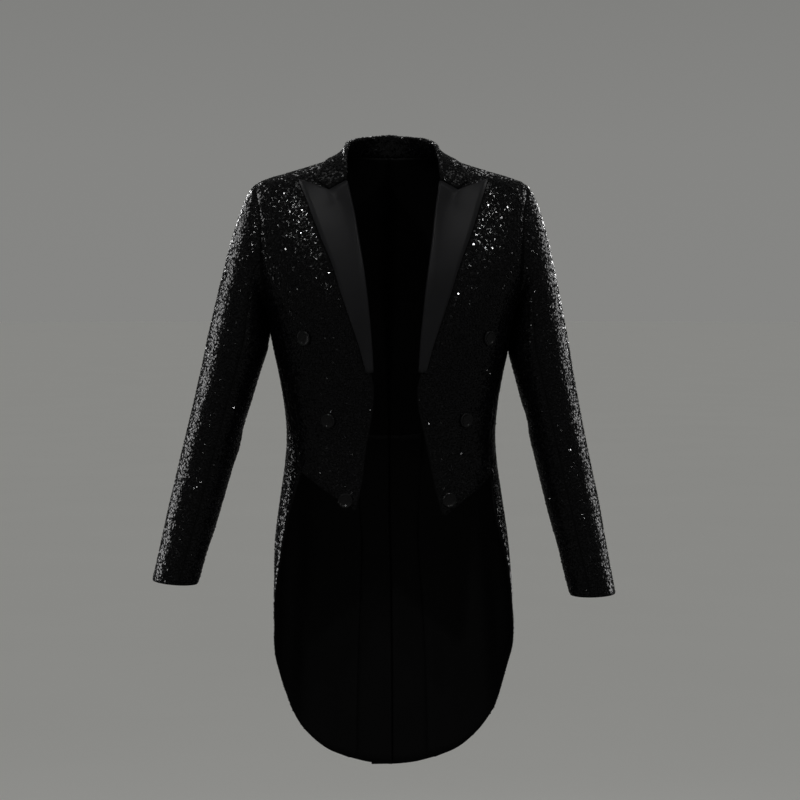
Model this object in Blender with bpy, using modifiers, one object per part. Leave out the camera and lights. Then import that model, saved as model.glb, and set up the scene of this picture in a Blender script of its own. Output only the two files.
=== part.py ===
"""A white tie tailcoat, hollow as when worn open, with peaked lapels and six front buttons.

The coat is cut as a tailor cuts it.  One smooth surface, "the body", stands for the middle of the
cloth all round the torso and down to the hem.  Every panel is a piece of it between seams, and each
seam is a short list of places on it: an angle round the body and a height.  The lapels, the linings
and the pleats use their own panel's points, moved out or in.  Sleeves are lofted from the armholes,
and the collar from the neckline.

Frame: metres, +Z up, the front faces -Y and the wearer's left is +X.  The origin lies midway between
the two neck points of the shoulder seams, where a wearer's shoulders carry the coat.
"""

import math
from collections import namedtuple

import bpy
import numpy as np
from mathutils import Vector

# Cloth.
CLOTH = 0.0020
LINING = 0.0010
SEAM_GAP = 0.0004
LAYER_GAP = 0.0004
LINING_GAP = 0.0006
LINING_SETBACK = 0.0030

# The body: half a width and two depths at each height, and how square the section is.
Ring = namedtuple("Ring", "height half_width front_depth back_depth squareness")
BODY = [
    Ring(0.000, 0.069, 0.062, 0.065, 2.15),
    Ring(-0.006, 0.085, 0.065, 0.068, 2.15),
    Ring(-0.012, 0.104, 0.067, 0.072, 2.15),
    Ring(-0.024, 0.143, 0.073, 0.079, 2.15),
    Ring(-0.036, 0.183, 0.079, 0.086, 2.15),
    Ring(-0.041, 0.196, 0.081, 0.089, 2.18),
    Ring(-0.050, 0.206, 0.085, 0.093, 2.20),
    Ring(-0.065, 0.214, 0.091, 0.099, 2.20),
    Ring(-0.090, 0.219, 0.100, 0.107, 2.20),
    Ring(-0.120, 0.220, 0.109, 0.115, 2.22),
    Ring(-0.160, 0.213, 0.118, 0.121, 2.25),
    Ring(-0.200, 0.199, 0.1235, 0.1225, 2.28),
    Ring(-0.240, 0.1845, 0.125, 0.120, 2.30),
    Ring(-0.290, 0.1735, 0.1215, 0.112, 2.30),
    Ring(-0.335, 0.164, 0.115, 0.104, 2.30),
    Ring(-0.380, 0.157, 0.1095, 0.098, 2.30),
    Ring(-0.425, 0.1545, 0.107, 0.096, 2.30),
    Ring(-0.455, 0.1565, 0.108, 0.099, 2.30),
    Ring(-0.515, 0.1645, 0.112, 0.110, 2.30),
    Ring(-0.580, 0.173, 0.116, 0.120, 2.30),
    Ring(-0.640, 0.177, 0.118, 0.125, 2.30),
    Ring(-0.700, 0.180, 0.118, 0.126, 2.30),
    Ring(-0.780, 0.183, 0.118, 0.125, 2.30),
    Ring(-0.860, 0.185, 0.118, 0.123, 2.30),
    Ring(-0.950, 0.185, 0.118, 0.121, 2.30),
]

# Small steps that measure which way the body faces.
ANGLE_STEP = np.array([0.01, 0.0])
HEIGHT_STEP = np.array([0.0, 0.0001])

# The open front: how far each front's edge, rolled or plain, stands from the centre line, and how
# wide the lapel is at that height.  The coat hangs a little unevenly, so the two sides differ.
Edge = namedtuple("Edge", "height right left lapel_width")
FRONT_EDGE = [
    Edge(-0.038, 0.0664, 0.0686, 0.0710),
    Edge(-0.065, 0.0600, 0.0640, 0.0665),
    Edge(-0.090, 0.0548, 0.0600, 0.0625),
    Edge(-0.120, 0.0500, 0.0567, 0.0557),
    Edge(-0.160, 0.0435, 0.0512, 0.0455),
    Edge(-0.200, 0.0384, 0.0459, 0.0380),
    Edge(-0.240, 0.0341, 0.0416, 0.0290),
    Edge(-0.280, 0.0307, 0.0379, 0.0190),
    Edge(-0.318, 0.0286, 0.0360, 0.0105),
    Edge(-0.350, 0.0283, 0.0347, 0.0),
    Edge(-0.375, 0.0298, 0.0368, 0.0),
    Edge(-0.400, 0.0339, 0.0425, 0.0),
    Edge(-0.435, 0.0400, 0.0502, 0.0),
    Edge(-0.480, 0.0458, 0.0592, 0.0),
    Edge(-0.522, 0.0559, 0.0695, 0.0),
    Edge(-0.535, 0.0600, 0.0740, 0.0),
]
GORGE_HEIGHT = -0.0415
LAPEL_END = -0.318
PEAK_TIP_HEIGHT = -0.038
NOTCH_INSET = 0.0225
NOTCH_DROP = 0.0130
ROLL_RADIUS = 0.0028
ROLL_FADE = 0.024
LAPEL_LOFT = 0.0016

# The cutaway hem, from the front's corner to the side seam: distance from the centre, and height.
Place = namedtuple("Place", "across height")
CUTAWAY = {
    "right": [
        Place(0.0559, -0.5222),
        Place(0.0795, -0.5055),
        Place(0.1030, -0.4905),
        Place(0.1340, -0.4672),
    ],
    "left": [
        Place(0.0726, -0.5316),
        Place(0.0990, -0.5110),
        Place(0.1220, -0.4940),
        Place(0.1455, -0.4740),
    ],
}

# Seams: degrees round the body from the centre front, and height.
Stitch = namedtuple("Stitch", "angle height")
Stop = namedtuple("Stop", "run angle height")
ARMHOLE_DEPTH = 0.060
ARMHOLE_TOP = -0.041
ARMHOLE_BOTTOM = -0.235
PEAK_ON_ARMHOLE = 55.0
SIDE_ON_ARMHOLE = 150.0
BACK_ON_ARMHOLE = 245.0
WAIST_AT_SIDE = Stitch(90.0, -0.432)
WAIST_BETWEEN = Stitch(125.0, -0.423)
WAIST_AT_BACK = Stitch(164.0, -0.420)
SIDE_SEAM_MIDDLE = Stitch(69.0, -0.400)
BACK_SEAM_MIDDLE = [Stitch(134.0, -0.250), Stitch(155.0, -0.330)]
TAIL_EDGE = [
    Stitch(64.0, -0.525),
    Stitch(71.0, -0.590),
    Stitch(82.0, -0.660),
    Stitch(97.0, -0.730),
    Stitch(108.0, -0.770),
    Stitch(116.0, -0.806),
]
TAIL_CORNER = Stitch(124.5, -0.842)
TAIL_ROUND = [Stitch(137.0, -0.882), Stitch(151.0, -0.914)]
STRIP_FOOT = Stitch(161.5, -0.9275)
STRIP_HEM = Stitch(170.0, -0.9355)
STRIP_MIDDLE = [Stitch(164.5, -0.560), Stitch(162.5, -0.750)]
TAIL_FOOT = -0.9405
SHOULDER_ON_BACK = -0.060
BACK_ON_CENTRE = -0.195
WAIST_ON_CENTRE = -0.424
VENT_LAP = 7.5
VENT_RISE = CLOTH + LAYER_GAP + 0.0002
PLEAT_TUCK = 4.0
PLEAT_SINK = 0.0044

# How far the coat swings to the wearer's left at each height below the waist.
Swing = namedtuple("Swing", "height across")
SWING = [
    Swing(-0.450, 0.0),
    Swing(-0.540, 0.0006),
    Swing(-0.640, 0.0032),
    Swing(-0.760, 0.0045),
    Swing(-0.950, 0.0050),
]

# Sleeves: how far along from the armhole's centre to the cuff, half widths across and fore-and-aft,
# and how far forward of the armhole the arm hangs.  The under sleeve lies between two seams, given in
# degrees round the armhole from its top.
Section = namedtuple("Section", "along half_width half_depth forward")
SLEEVE = [
    Section(0.29, 0.0440, 0.0620, 0.000),
    Section(0.37, 0.0418, 0.0590, 0.001),
    Section(0.46, 0.0402, 0.0560, 0.003),
    Section(0.55, 0.0390, 0.0535, 0.007),
    Section(0.64, 0.0382, 0.0515, 0.012),
    Section(0.73, 0.0370, 0.0500, 0.019),
    Section(0.82, 0.0356, 0.0480, 0.027),
    Section(0.91, 0.0336, 0.0455, 0.036),
    Section(1.00, 0.0318, 0.0430, 0.044),
]
SLEEVE_AXIS = {
    "right": (Place(0.1925, -0.138), Place(0.3215, -0.631)),
    "left": (Place(0.1900, -0.138), Place(0.2995, -0.652)),
}
CUFF_DROP = 0.0055
UNDER_SLEEVE = (100.0, 245.0)
SLEEVE_SEAM_GAP = 0.0006

# The sleeve's cap leaves the armhole sideways: how much less so at the top, how much it falls there,
# how much it heads for the armhole's middle at the top and at the underarm, and how far it reaches.
CAP_ROWS = 5
CAP_TURN = 0.25
CAP_FALL = 0.30
CAP_INWARD = 0.25
UNDERARM_RISE = 0.38
CAP_REACH = 0.092
UNDERARM_REACH = 0.055
CAP_ARRIVAL = 0.10
UNDERARM_ARRIVAL = 0.05

# Collar: how far along the neckline from gorge to centre back, the stand's height there, how far it
# leans in over the neck, and the place on the body that the leaf's edge comes down to.
Stand = namedtuple("Stand", "along height lean edge_angle edge_height")
COLLAR = [
    Stand(0.00, 0.0006, 0.0000, 31.5, -0.0415),
    Stand(0.16, 0.0075, 0.0010, 46.0, -0.0240),
    Stand(0.32, 0.0120, 0.0030, 66.0, -0.0130),
    Stand(0.46, 0.0160, 0.0050, 90.0, -0.0066),
    Stand(0.70, 0.0245, 0.0065, 130.0, -0.0100),
    Stand(1.00, 0.0310, 0.0030, 180.0, -0.0130),
]
COLLAR_FOLD = 0.0019
COLLAR_SINK = 0.0004
LEAF_LIFT = 0.0046
LEAF_EDGE_LIFT = 0.0031
LEAF_NOTCH_LIFT = 0.0040
LEAF_ROWS = 4
GORGE_REACH = 0.34

# Buttons, three down each front: distance from the centre line on each side, and height.
Button = namedtuple("Button", "right left height")
BUTTONS = [
    Button(0.1285, 0.1400, -0.2690),
    Button(0.0935, 0.1065, -0.3895),
    Button(0.0695, 0.0810, -0.5060),
]
BUTTON_RADIUS = 0.0110
BUTTON_THICKNESS = 0.0040

# A button's turned profile, as shares of its radius and of its thickness, from the face's middle.
Turn = namedtuple("Turn", "out up")
BUTTON_PROFILE = [
    Turn(0.00, 0.62),
    Turn(0.62, 0.66),
    Turn(0.78, 1.00),
    Turn(0.92, 0.94),
    Turn(1.00, 0.60),
    Turn(0.90, 0.00),
    Turn(0.00, 0.00),
]

# Rows and columns of the panels' grids.
LAPEL_COLUMNS = 5
FRONT_COLUMNS = 6
SHOULDER_ROWS = 5
ARMHOLE_ROWS = 8
LAPEL_TAIL_ROWS = 4
SKIRT_OF_FRONT_ROWS = 6
SIDE_COLUMNS = 9
BACK_COLUMNS = 6
BACK_ARMHOLE_ROWS = 6
TAIL_ROWS = 12
SEAM_ROWS = LAPEL_TAIL_ROWS + SKIRT_OF_FRONT_ROWS
WAIST_ROW = SHOULDER_ROWS + BACK_ARMHOLE_ROWS + SEAM_ROWS


def smooth(rows, column, at):
    """Read a table's column at any heights or fractions, through its rows with no corners."""
    keys = np.array([row[0] for row in rows], float)
    values = np.array([getattr(row, column) for row in rows], float)
    order = np.argsort(keys)
    keys, values = keys[order], values[order]
    slopes = np.gradient(values, keys)
    at = np.clip(np.asarray(at, float), keys[0], keys[-1])
    k = np.clip(np.searchsorted(keys, at) - 1, 0, len(keys) - 2)
    step = keys[k + 1] - keys[k]
    t = (at - keys[k]) / step
    return (
        (2 * t**3 - 3 * t**2 + 1) * values[k]
        + (t**3 - 2 * t**2 + t) * step * slopes[k]
        + (3 * t**2 - 2 * t**3) * values[k + 1]
        + (t**3 - t**2) * step * slopes[k + 1]
    )


def body(places):
    """Points on the body, for an array of (angle in degrees, height)."""
    angle = np.radians(places[..., 0])
    height = places[..., 1]
    power = 2 / smooth(BODY, "squareness", height)
    across, along = np.sin(angle), np.cos(angle)
    in_front = smooth(BODY, "front_depth", height)
    depth = np.where(along > 0, in_front, smooth(BODY, "back_depth", height))
    x = smooth(BODY, "half_width", height) * np.sign(across) * np.abs(across) ** power
    y = -depth * np.sign(along) * np.abs(along) ** power
    return np.stack([x, y, height], axis=-1)


def place_across(x, height):
    """The place on the front of the body at a distance from the centre line."""
    half_width = smooth(BODY, "half_width", height)
    power = smooth(BODY, "squareness", height) / 2
    angle = np.degrees(np.arcsin(np.clip(x / half_width, 0, 1) ** power))
    return np.stack([angle, np.broadcast_to(height, angle.shape)], axis=-1)


def place_back_and_forth(y, height):
    """The place on the side of the body at a distance before (-) or behind (+) the armhole's middle."""
    in_front = smooth(BODY, "front_depth", height)
    depth = np.where(y < 0, in_front, smooth(BODY, "back_depth", height))
    power = smooth(BODY, "squareness", height) / 2
    away = np.degrees(np.arccos(np.clip(np.abs(y) / depth, 0, 1) ** power))
    return np.stack([np.where(y < 0, away, 180 - away), height], axis=-1)


def distances_along(points):
    """How far along a line each of its points is."""
    return np.concatenate([[0], np.cumsum(np.linalg.norm(np.diff(points, axis=0), axis=1))])


def evenly(places, steps):
    """The same line across the body as steps + 1 places, evenly spaced along it in space."""
    run = distances_along(body(places))
    wanted = np.linspace(0, run[-1], steps + 1)
    return np.stack([np.interp(wanted, run, places[:, k]) for k in (0, 1)], axis=-1)


def curve_through(stitches, steps):
    """A smooth line through a few places, evenly spaced."""
    control = np.array([tuple(stitch) for stitch in stitches])
    run = distances_along(body(control))
    rows = [Stop(r, a, h) for r, (a, h) in zip(run, control)]
    fine = np.linspace(0, run[-1], 200)
    places = np.stack([smooth(rows, "angle", fine), smooth(rows, "height", fine)], axis=-1)
    return evenly(places, steps)


def fill(top, bottom, first, last):
    """A grid of places between four sides: the Coons patch, sides blended less their corners."""
    s = np.linspace(0, 1, len(top))[None, :, None]
    t = np.linspace(0, 1, len(first))[:, None, None]
    sides = (1 - s) * first[:, None] + s * last[:, None]
    ends = (1 - t) * top[None] + t * bottom[None]
    top_corners = (1 - s) * top[0] + s * top[-1]
    bottom_corners = (1 - s) * bottom[0] + s * bottom[-1]
    return sides + ends - (1 - t) * top_corners - t * bottom_corners


def straight_out(places):
    """Unit normals of the body at places on it."""
    by_angle = body(places + ANGLE_STEP) - body(places - ANGLE_STEP)
    by_height = body(places - HEIGHT_STEP) - body(places + HEIGHT_STEP)
    out = np.cross(by_height, by_angle)
    return out / np.linalg.norm(out, axis=-1, keepdims=True)


def line(start, end, steps):
    """A straight run of places from one to another."""
    return np.linspace(np.asarray(start, float), np.asarray(end, float), steps + 1)


def normals(points, side=1):
    """Unit normals of a grid of points, pointing out of the coat."""
    down = np.gradient(points, axis=0)
    along = np.gradient(points, axis=1)
    normal = np.cross(down, along) * side
    return normal / np.linalg.norm(normal, axis=-1, keepdims=True)


def draw_in(points, side, distance):
    """Pull one side of a grid in from its seam, squarely to the seam."""
    grid = points if side in ("top", "bottom") else points.swapaxes(0, 1)
    grid = grid[::-1] if side in ("bottom", "last") else grid
    seam, next_in = grid[0], grid[1]
    run = np.gradient(seam, axis=0)
    run /= np.linalg.norm(run, axis=1, keepdims=True)
    inward = next_in - seam
    inward -= (inward * run).sum(axis=1, keepdims=True) * run
    grid[0] = seam + distance * inward / np.linalg.norm(inward, axis=1, keepdims=True)


def cut_back(points, side, distance):
    """Stop a grid short of one side, going back along its own lines."""
    grid = points if side == "bottom" else points.swapaxes(0, 1)
    edge, next_in = (-1, -2) if side == "bottom" else (0, 1)
    back = grid[next_in] - grid[edge]
    grid[edge] += distance * back / np.linalg.norm(back, axis=1, keepdims=True)


def worn_side(points, side):
    """Carry points modelled on the wearer's left over to the side they belong to."""
    return points * np.array([side, 1, 1])


def hung(points, side):
    """The same for the panels, with the coat's swing below the waist."""
    placed = worn_side(points, side)
    placed[..., 0] += smooth(SWING, "across", placed[..., 2])
    return placed


def cloth_material(name, colour, roughness, metallic=0.0):
    """A plain principled material for one kind of cloth or trim."""
    material = bpy.data.materials.new(name)
    material.use_nodes = True
    shader = material.node_tree.nodes["Principled BSDF"]
    shader.inputs["Base Color"].default_value = (*colour, 1)
    shader.inputs["Roughness"].default_value = roughness
    shader.inputs["Metallic"].default_value = metallic
    material.diffuse_color = (*colour, 1)
    return material


def new_collection(name):
    collection = bpy.data.collections.new(name)
    bpy.context.scene.collection.children.link(collection)
    return collection


def sheet(name, points, thickness, material, collection, side=1, left_out=None):
    """A grid of points as one thickness of cloth, half to each side of the grid.

    left_out marks grid cells that the cloth doesn't have.
    """
    rows, columns = points.shape[:2]
    index = np.arange(rows * columns).reshape(rows, columns)
    keep = np.ones((rows - 1, columns - 1), bool) if left_out is None else ~left_out
    cells = np.stack([index[:-1, :-1], index[1:, :-1], index[1:, 1:], index[:-1, 1:]], axis=-1)
    used, cells = np.unique(cells[keep], return_inverse=True)
    cells = cells.reshape(-1, 4)[:, ::side]
    mesh = bpy.data.meshes.new(name)
    mesh.from_pydata(points.reshape(-1, 3)[used].tolist(), [], cells.tolist())
    mesh.shade_smooth()
    mesh.materials.append(material)
    garment_piece = bpy.data.objects.new(name, mesh)
    collection.objects.link(garment_piece)
    wall = garment_piece.modifiers.new("Cloth thickness", "SOLIDIFY")
    wall.thickness = thickness
    wall.offset = 0
    wall.use_even_offset = True


def front_edge(side_name, heights):
    """Where the front panel itself ends: behind the lapel's roll, and at the plain edge below it."""
    visible = smooth(FRONT_EDGE, side_name, heights)
    below_lapel = np.clip((LAPEL_END - heights) / ROLL_FADE, 0, 1)
    return visible + (ROLL_RADIUS + CLOTH / 2) * (1 - below_lapel)


def neckline(side_name, steps):
    """From the gorge back to the neck point of the shoulder seam, on the front."""
    q = np.linspace(0, 1, 120)
    gorge = front_edge(side_name, np.array([GORGE_HEIGHT]))[0]
    places = place_across(BODY[0].half_width * (1 - q) + gorge * q, GORGE_HEIGHT * q**2)
    return evenly(places, steps)


def back_neckline():
    """From the neck point round to the centre back."""
    return line((90, 0), (180, 0), BACK_COLUMNS)


def armhole(start, end, steps):
    """A stretch of the armhole, in degrees round it from its top, over the front first."""
    turn = np.radians(np.linspace(start, end, steps + 1))
    middle = (ARMHOLE_TOP + ARMHOLE_BOTTOM) / 2
    height = middle + (ARMHOLE_TOP - middle) * np.cos(turn)
    return place_back_and_forth(-ARMHOLE_DEPTH * np.sin(turn), height)


def front_seams(side_name):
    """The lines that bound the front panel's six blocks, shared with the pieces beside it."""
    cutaway = np.array([tuple(place) for place in CUTAWAY[side_name]])
    hem_x = np.linspace(cutaway[0, 0], cutaway[-1, 0], 80)
    hem_z = np.interp(hem_x, cutaway[:, 0], cutaway[:, 1])
    hem = evenly(place_across(hem_x, hem_z), LAPEL_COLUMNS + FRONT_COLUMNS)
    side_top = armhole(SIDE_ON_ARMHOLE, SIDE_ON_ARMHOLE, 0)[0]
    side_seam = curve_through([side_top, SIDE_SEAM_MIDDLE, hem[-1]], SEAM_ROWS)
    return hem, side_seam


def front_grid(side_name):
    """Places of the front: rows from shoulder seam to hem, columns from the front edge to the side."""
    m = LAPEL_COLUMNS
    hem, side_seam = front_seams(side_name)
    neck = neckline(side_name, SHOULDER_ROWS)
    shoulder = line((90, 0), (90, ARMHOLE_TOP), m + FRONT_COLUMNS)

    lapel_rows = ARMHOLE_ROWS + LAPEL_TAIL_ROWS
    roll_heights = np.linspace(GORGE_HEIGHT, LAPEL_END, 100)
    roll = evenly(place_across(front_edge(side_name, roll_heights), roll_heights), lapel_rows)
    fold_heights = np.linspace(PEAK_TIP_HEIGHT, LAPEL_END, 100)
    fold_x = smooth(FRONT_EDGE, side_name, fold_heights) + smooth(FRONT_EDGE, "lapel_width", fold_heights)
    fold = evenly(place_across(fold_x, fold_heights), lapel_rows)

    gorge_x = front_edge(side_name, np.array([GORGE_HEIGHT]))[0]
    top_x = np.array([gorge_x, gorge_x + NOTCH_INSET, fold_x[0]])
    top_z = np.array([GORGE_HEIGHT, GORGE_HEIGHT - NOTCH_DROP, PEAK_TIP_HEIGHT])
    columns = np.interp(np.arange(m + 1), (0, 2, m), (0, 1, 2))
    lapel_top = place_across(np.interp(columns, range(3), top_x), np.interp(columns, range(3), top_z))

    upper_armhole = armhole(0, PEAK_ON_ARMHOLE, SHOULDER_ROWS)
    lower_armhole = armhole(PEAK_ON_ARMHOLE, SIDE_ON_ARMHOLE, ARMHOLE_ROWS)
    chest = line(lapel_top[-1], upper_armhole[-1], FRONT_COLUMNS)
    over_peak_z = shoulder[m, 1] + (PEAK_TIP_HEIGHT - shoulder[m, 1]) * np.linspace(0, 1, 80) ** 2
    ridge_x = smooth(BODY, "half_width", shoulder[m, 1])
    over_peak_x = np.linspace(ridge_x, fold_x[0], 80)
    over_peak = evenly(place_across(over_peak_x, over_peak_z), SHOULDER_ROWS)

    outer = np.concatenate([lower_armhole[:-1], side_seam[: LAPEL_TAIL_ROWS + 1]])
    lapel_foot = line(roll[-1], fold[-1], m)
    belly = line(fold[-1], outer[-1], FRONT_COLUMNS)
    edge_heights = np.linspace(LAPEL_END, hem[0, 1], 80)
    edge = evenly(place_across(front_edge(side_name, edge_heights), edge_heights), SKIRT_OF_FRONT_ROWS)
    edge[-1] = hem[0]
    below_fold = line(fold[-1], hem[m], SKIRT_OF_FRONT_ROWS)
    side_below = side_seam[LAPEL_TAIL_ROWS:]

    blocks = [
        (
            fill(shoulder[: m + 1], lapel_top, neck, over_peak),
            fill(shoulder[m:], chest, over_peak, upper_armhole),
        ),
        (
            fill(lapel_top, lapel_foot, roll, fold),
            fill(chest, belly, fold, outer),
        ),
        (
            fill(lapel_foot, hem[: m + 1], edge, below_fold),
            fill(belly, hem[m:], below_fold, side_below),
        ),
    ]
    bands = [np.concatenate([inner[:, :-1], outer_block], axis=1) for inner, outer_block in blocks]
    return np.concatenate([bands[0][:-1], bands[1][:-1], bands[2]])


def back_seam():
    """The curved seam between side body and back, from the armhole to the waist."""
    top = armhole(BACK_ON_ARMHOLE, BACK_ON_ARMHOLE, 0)[0]
    return curve_through([top, *BACK_SEAM_MIDDLE, WAIST_AT_BACK], SEAM_ROWS)


def strip_seam():
    """The seam from the waist to the hem, between the back's long strip and the skirt."""
    return curve_through([WAIST_AT_BACK, *STRIP_MIDDLE, STRIP_FOOT], TAIL_ROWS)


def waist_seam(side_name):
    """The seam round the waist, from the front's hem to the back's strip."""
    hem, _ = front_seams(side_name)
    return curve_through([hem[-1], WAIST_AT_SIDE, WAIST_BETWEEN, WAIST_AT_BACK], SIDE_COLUMNS)


def side_grid(side_name):
    """Places of the side body, from the front's seam to the back's."""
    top = armhole(SIDE_ON_ARMHOLE, BACK_ON_ARMHOLE, SIDE_COLUMNS)
    _, side_seam = front_seams(side_name)
    return fill(top, waist_seam(side_name), side_seam, back_seam())


def back_grid(lap):
    """Places of the back from centre to side, with the strip that runs on to the hem.

    lap adds two columns past the centre, in degrees, for the vent's upper layer.
    """
    shoulder = line((90, 0), (90, ARMHOLE_TOP), SHOULDER_ROWS)
    arm = armhole(360, BACK_ON_ARMHOLE, BACK_ARMHOLE_ROWS)
    outer = np.concatenate([shoulder[:-1], arm[:-1], back_seam()[:-1], strip_seam()])
    stops = np.cumsum([0, SHOULDER_ROWS, BACK_ARMHOLE_ROWS, SEAM_ROWS, TAIL_ROWS])
    centre_heights = [0, SHOULDER_ON_BACK, BACK_ON_CENTRE, WAIST_ON_CENTRE, TAIL_FOOT]
    rows = np.arange(stops[-1] + 1)
    centre = np.stack([np.full(len(rows), 180.0), np.interp(rows, stops, centre_heights)], axis=-1)
    hem = curve_through([Stitch(180.0, TAIL_FOOT), STRIP_HEM, STRIP_FOOT], BACK_COLUMNS)
    grid = fill(back_neckline()[::-1], hem, centre, outer)
    if lap:
        past = grid[:, [0, 0]] + np.array([[lap, 0.0], [lap / 2, 0.0]])
        grid = np.concatenate([past, grid], axis=1)
    return grid


def tail_grid(side_name):
    """Places of the skirt, from its receding front edge to the strip, and one column more for the pleat."""
    waist = waist_seam(side_name)
    edge = curve_through([waist[0], *TAIL_EDGE, TAIL_CORNER], TAIL_ROWS)
    foot = curve_through([TAIL_CORNER, *TAIL_ROUND, STRIP_FOOT], SIDE_COLUMNS)
    grid = fill(waist, foot, edge, strip_seam())
    tuck = grid[:, -1:] + np.array([PLEAT_TUCK, 0.0])
    return np.concatenate([grid, tuck], axis=1)


def make_front(side_name, side, material, collection):
    """The front panel.  Returns its points and normals, which the lapel is made from."""
    points = body(front_grid(side_name))
    out = normals(points)
    for edge in ("top", "last"):
        draw_in(points, edge, SEAM_GAP / 2)
    sheet(f"front_{side_name}", hung(points, side), CLOTH, material, collection, side)
    return points, out


def make_lapel(side_name, side, points, out, material, collection):
    """The lapel's facing: the front's own points moved out, and a roll round the front's edge."""
    rows = slice(SHOULDER_ROWS, SHOULDER_ROWS + ARMHOLE_ROWS + LAPEL_TAIL_ROWS + 1)
    base, normal = points[rows, : LAPEL_COLUMNS + 1].copy(), out[rows, : LAPEL_COLUMNS + 1]
    draw_in(base, "top", SEAM_GAP)
    toward_edge = np.linspace(1, 0, LAPEL_COLUMNS + 1)[None, :, None]
    rise = CLOTH + LAYER_GAP + (ROLL_RADIUS - CLOTH - LAYER_GAP) * toward_edge
    rise = rise + LAPEL_LOFT * np.sin(np.pi * toward_edge)
    leaf = base + normal * rise

    beyond = np.cross(np.gradient(base[:, 0], axis=0), normal[:, 0])
    beyond /= np.linalg.norm(beyond, axis=-1, keepdims=True)
    beyond *= -np.sign(beyond[:, :1])
    roll = [
        base[:, 0] + ROLL_RADIUS * (math.sin(turn) * beyond + math.cos(turn) * normal[:, 0])
        for turn in np.radians([130, 85, 42])
    ]
    grid = np.concatenate([np.stack(roll, axis=1), leaf], axis=1)
    sheet(f"lapel_{side_name}", hung(grid, side), CLOTH, material, collection, side)


def make_side_body(side_name, side, material, collection):
    points = body(side_grid(side_name))
    for edge in ("bottom", "first", "last"):
        draw_in(points, edge, SEAM_GAP / 2)
    sheet(f"side_body_{side_name}", hung(points, side), CLOTH, material, collection, side)


def make_back(side_name, side, material, collection):
    """The back and its strip.  On the wearer's left the vent's edge laps over the right strip."""
    laps = side > 0
    points = body(back_grid(VENT_LAP if laps else 0))
    centre = 2 if laps else 0
    out = normals(points, -1)
    own = points[:, centre:].copy()
    for edge in ("top", "first", "last"):
        draw_in(own, edge, SEAM_GAP / 2)
    points[:, centre:] = own
    left_out = None
    if laps:
        vent_top = WAIST_ROW + 1
        points[vent_top:, :3] += out[vent_top:, :3] * VENT_RISE
        left_out = np.zeros((points.shape[0] - 1, points.shape[1] - 1), bool)
        left_out[:vent_top, :2] = True
    sheet(f"back_{side_name}", hung(points, side), CLOTH, material, collection, -side, left_out)
    return own, normals(own, -1)


def make_strip_lining(side_name, side, points, out, material, collection):
    """The lining of the back's strip, below the waist, made from the strip's points moved in."""
    inside = points[WAIST_ROW:] - out[WAIST_ROW:] * (CLOTH / 2 + LINING_GAP + LINING / 2)
    cut_back(inside, "bottom", LINING_SETBACK)
    sheet(f"strip_lining_{side_name}", hung(inside, side), LINING, material, collection, -side)


def make_tail(side_name, side, cloth, lining, collection):
    """The skirt, whose back edge sinks under the strip as a pleat, and its lining."""
    points = body(tail_grid(side_name))
    out = normals(points)
    draw_in(points[:, :-1], "top", SEAM_GAP / 2)
    draw_in(points[:, :-1], "last", SEAM_GAP / 2)
    points[1:, -2:] -= out[1:, -2:] * PLEAT_SINK
    left_out = np.zeros((TAIL_ROWS, SIDE_COLUMNS + 1), bool)
    left_out[0, -1] = True
    sheet(f"skirt_{side_name}", hung(points, side), CLOTH, cloth, collection, side, left_out)
    inside = points - normals(points) * (CLOTH / 2 + LINING_GAP + LINING / 2)
    cut_back(inside, "first", LINING_SETBACK)
    cut_back(inside, "bottom", LINING_SETBACK)
    sheet(f"tail_lining_{side_name}", hung(inside, side), LINING, lining, collection, side, left_out)


def armhole_ring():
    """The armhole as a ring of the panels' own points, the way on past their edge, and the turns."""
    stops = (0, PEAK_ON_ARMHOLE, SIDE_ON_ARMHOLE, BACK_ON_ARMHOLE, 360)
    panel_steps = (SHOULDER_ROWS, ARMHOLE_ROWS, SIDE_COLUMNS, BACK_ARMHOLE_ROWS)
    stretches = zip(stops, stops[1:], panel_steps)
    turns = np.concatenate([np.linspace(a, b, n + 1)[:-1] for a, b, n in stretches])
    places = np.concatenate([armhole(turn, turn, 0) for turn in turns])
    points = body(places)
    out = straight_out(places)
    run = np.roll(points, -1, axis=0) - np.roll(points, 1, axis=0)
    way = np.cross(run, out)
    way /= np.linalg.norm(way, axis=1, keepdims=True)
    centre = points.mean(axis=0)
    way *= np.sign(((centre - points) * way).sum(axis=1))[:, None]
    return points, way, np.radians(turns)


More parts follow.
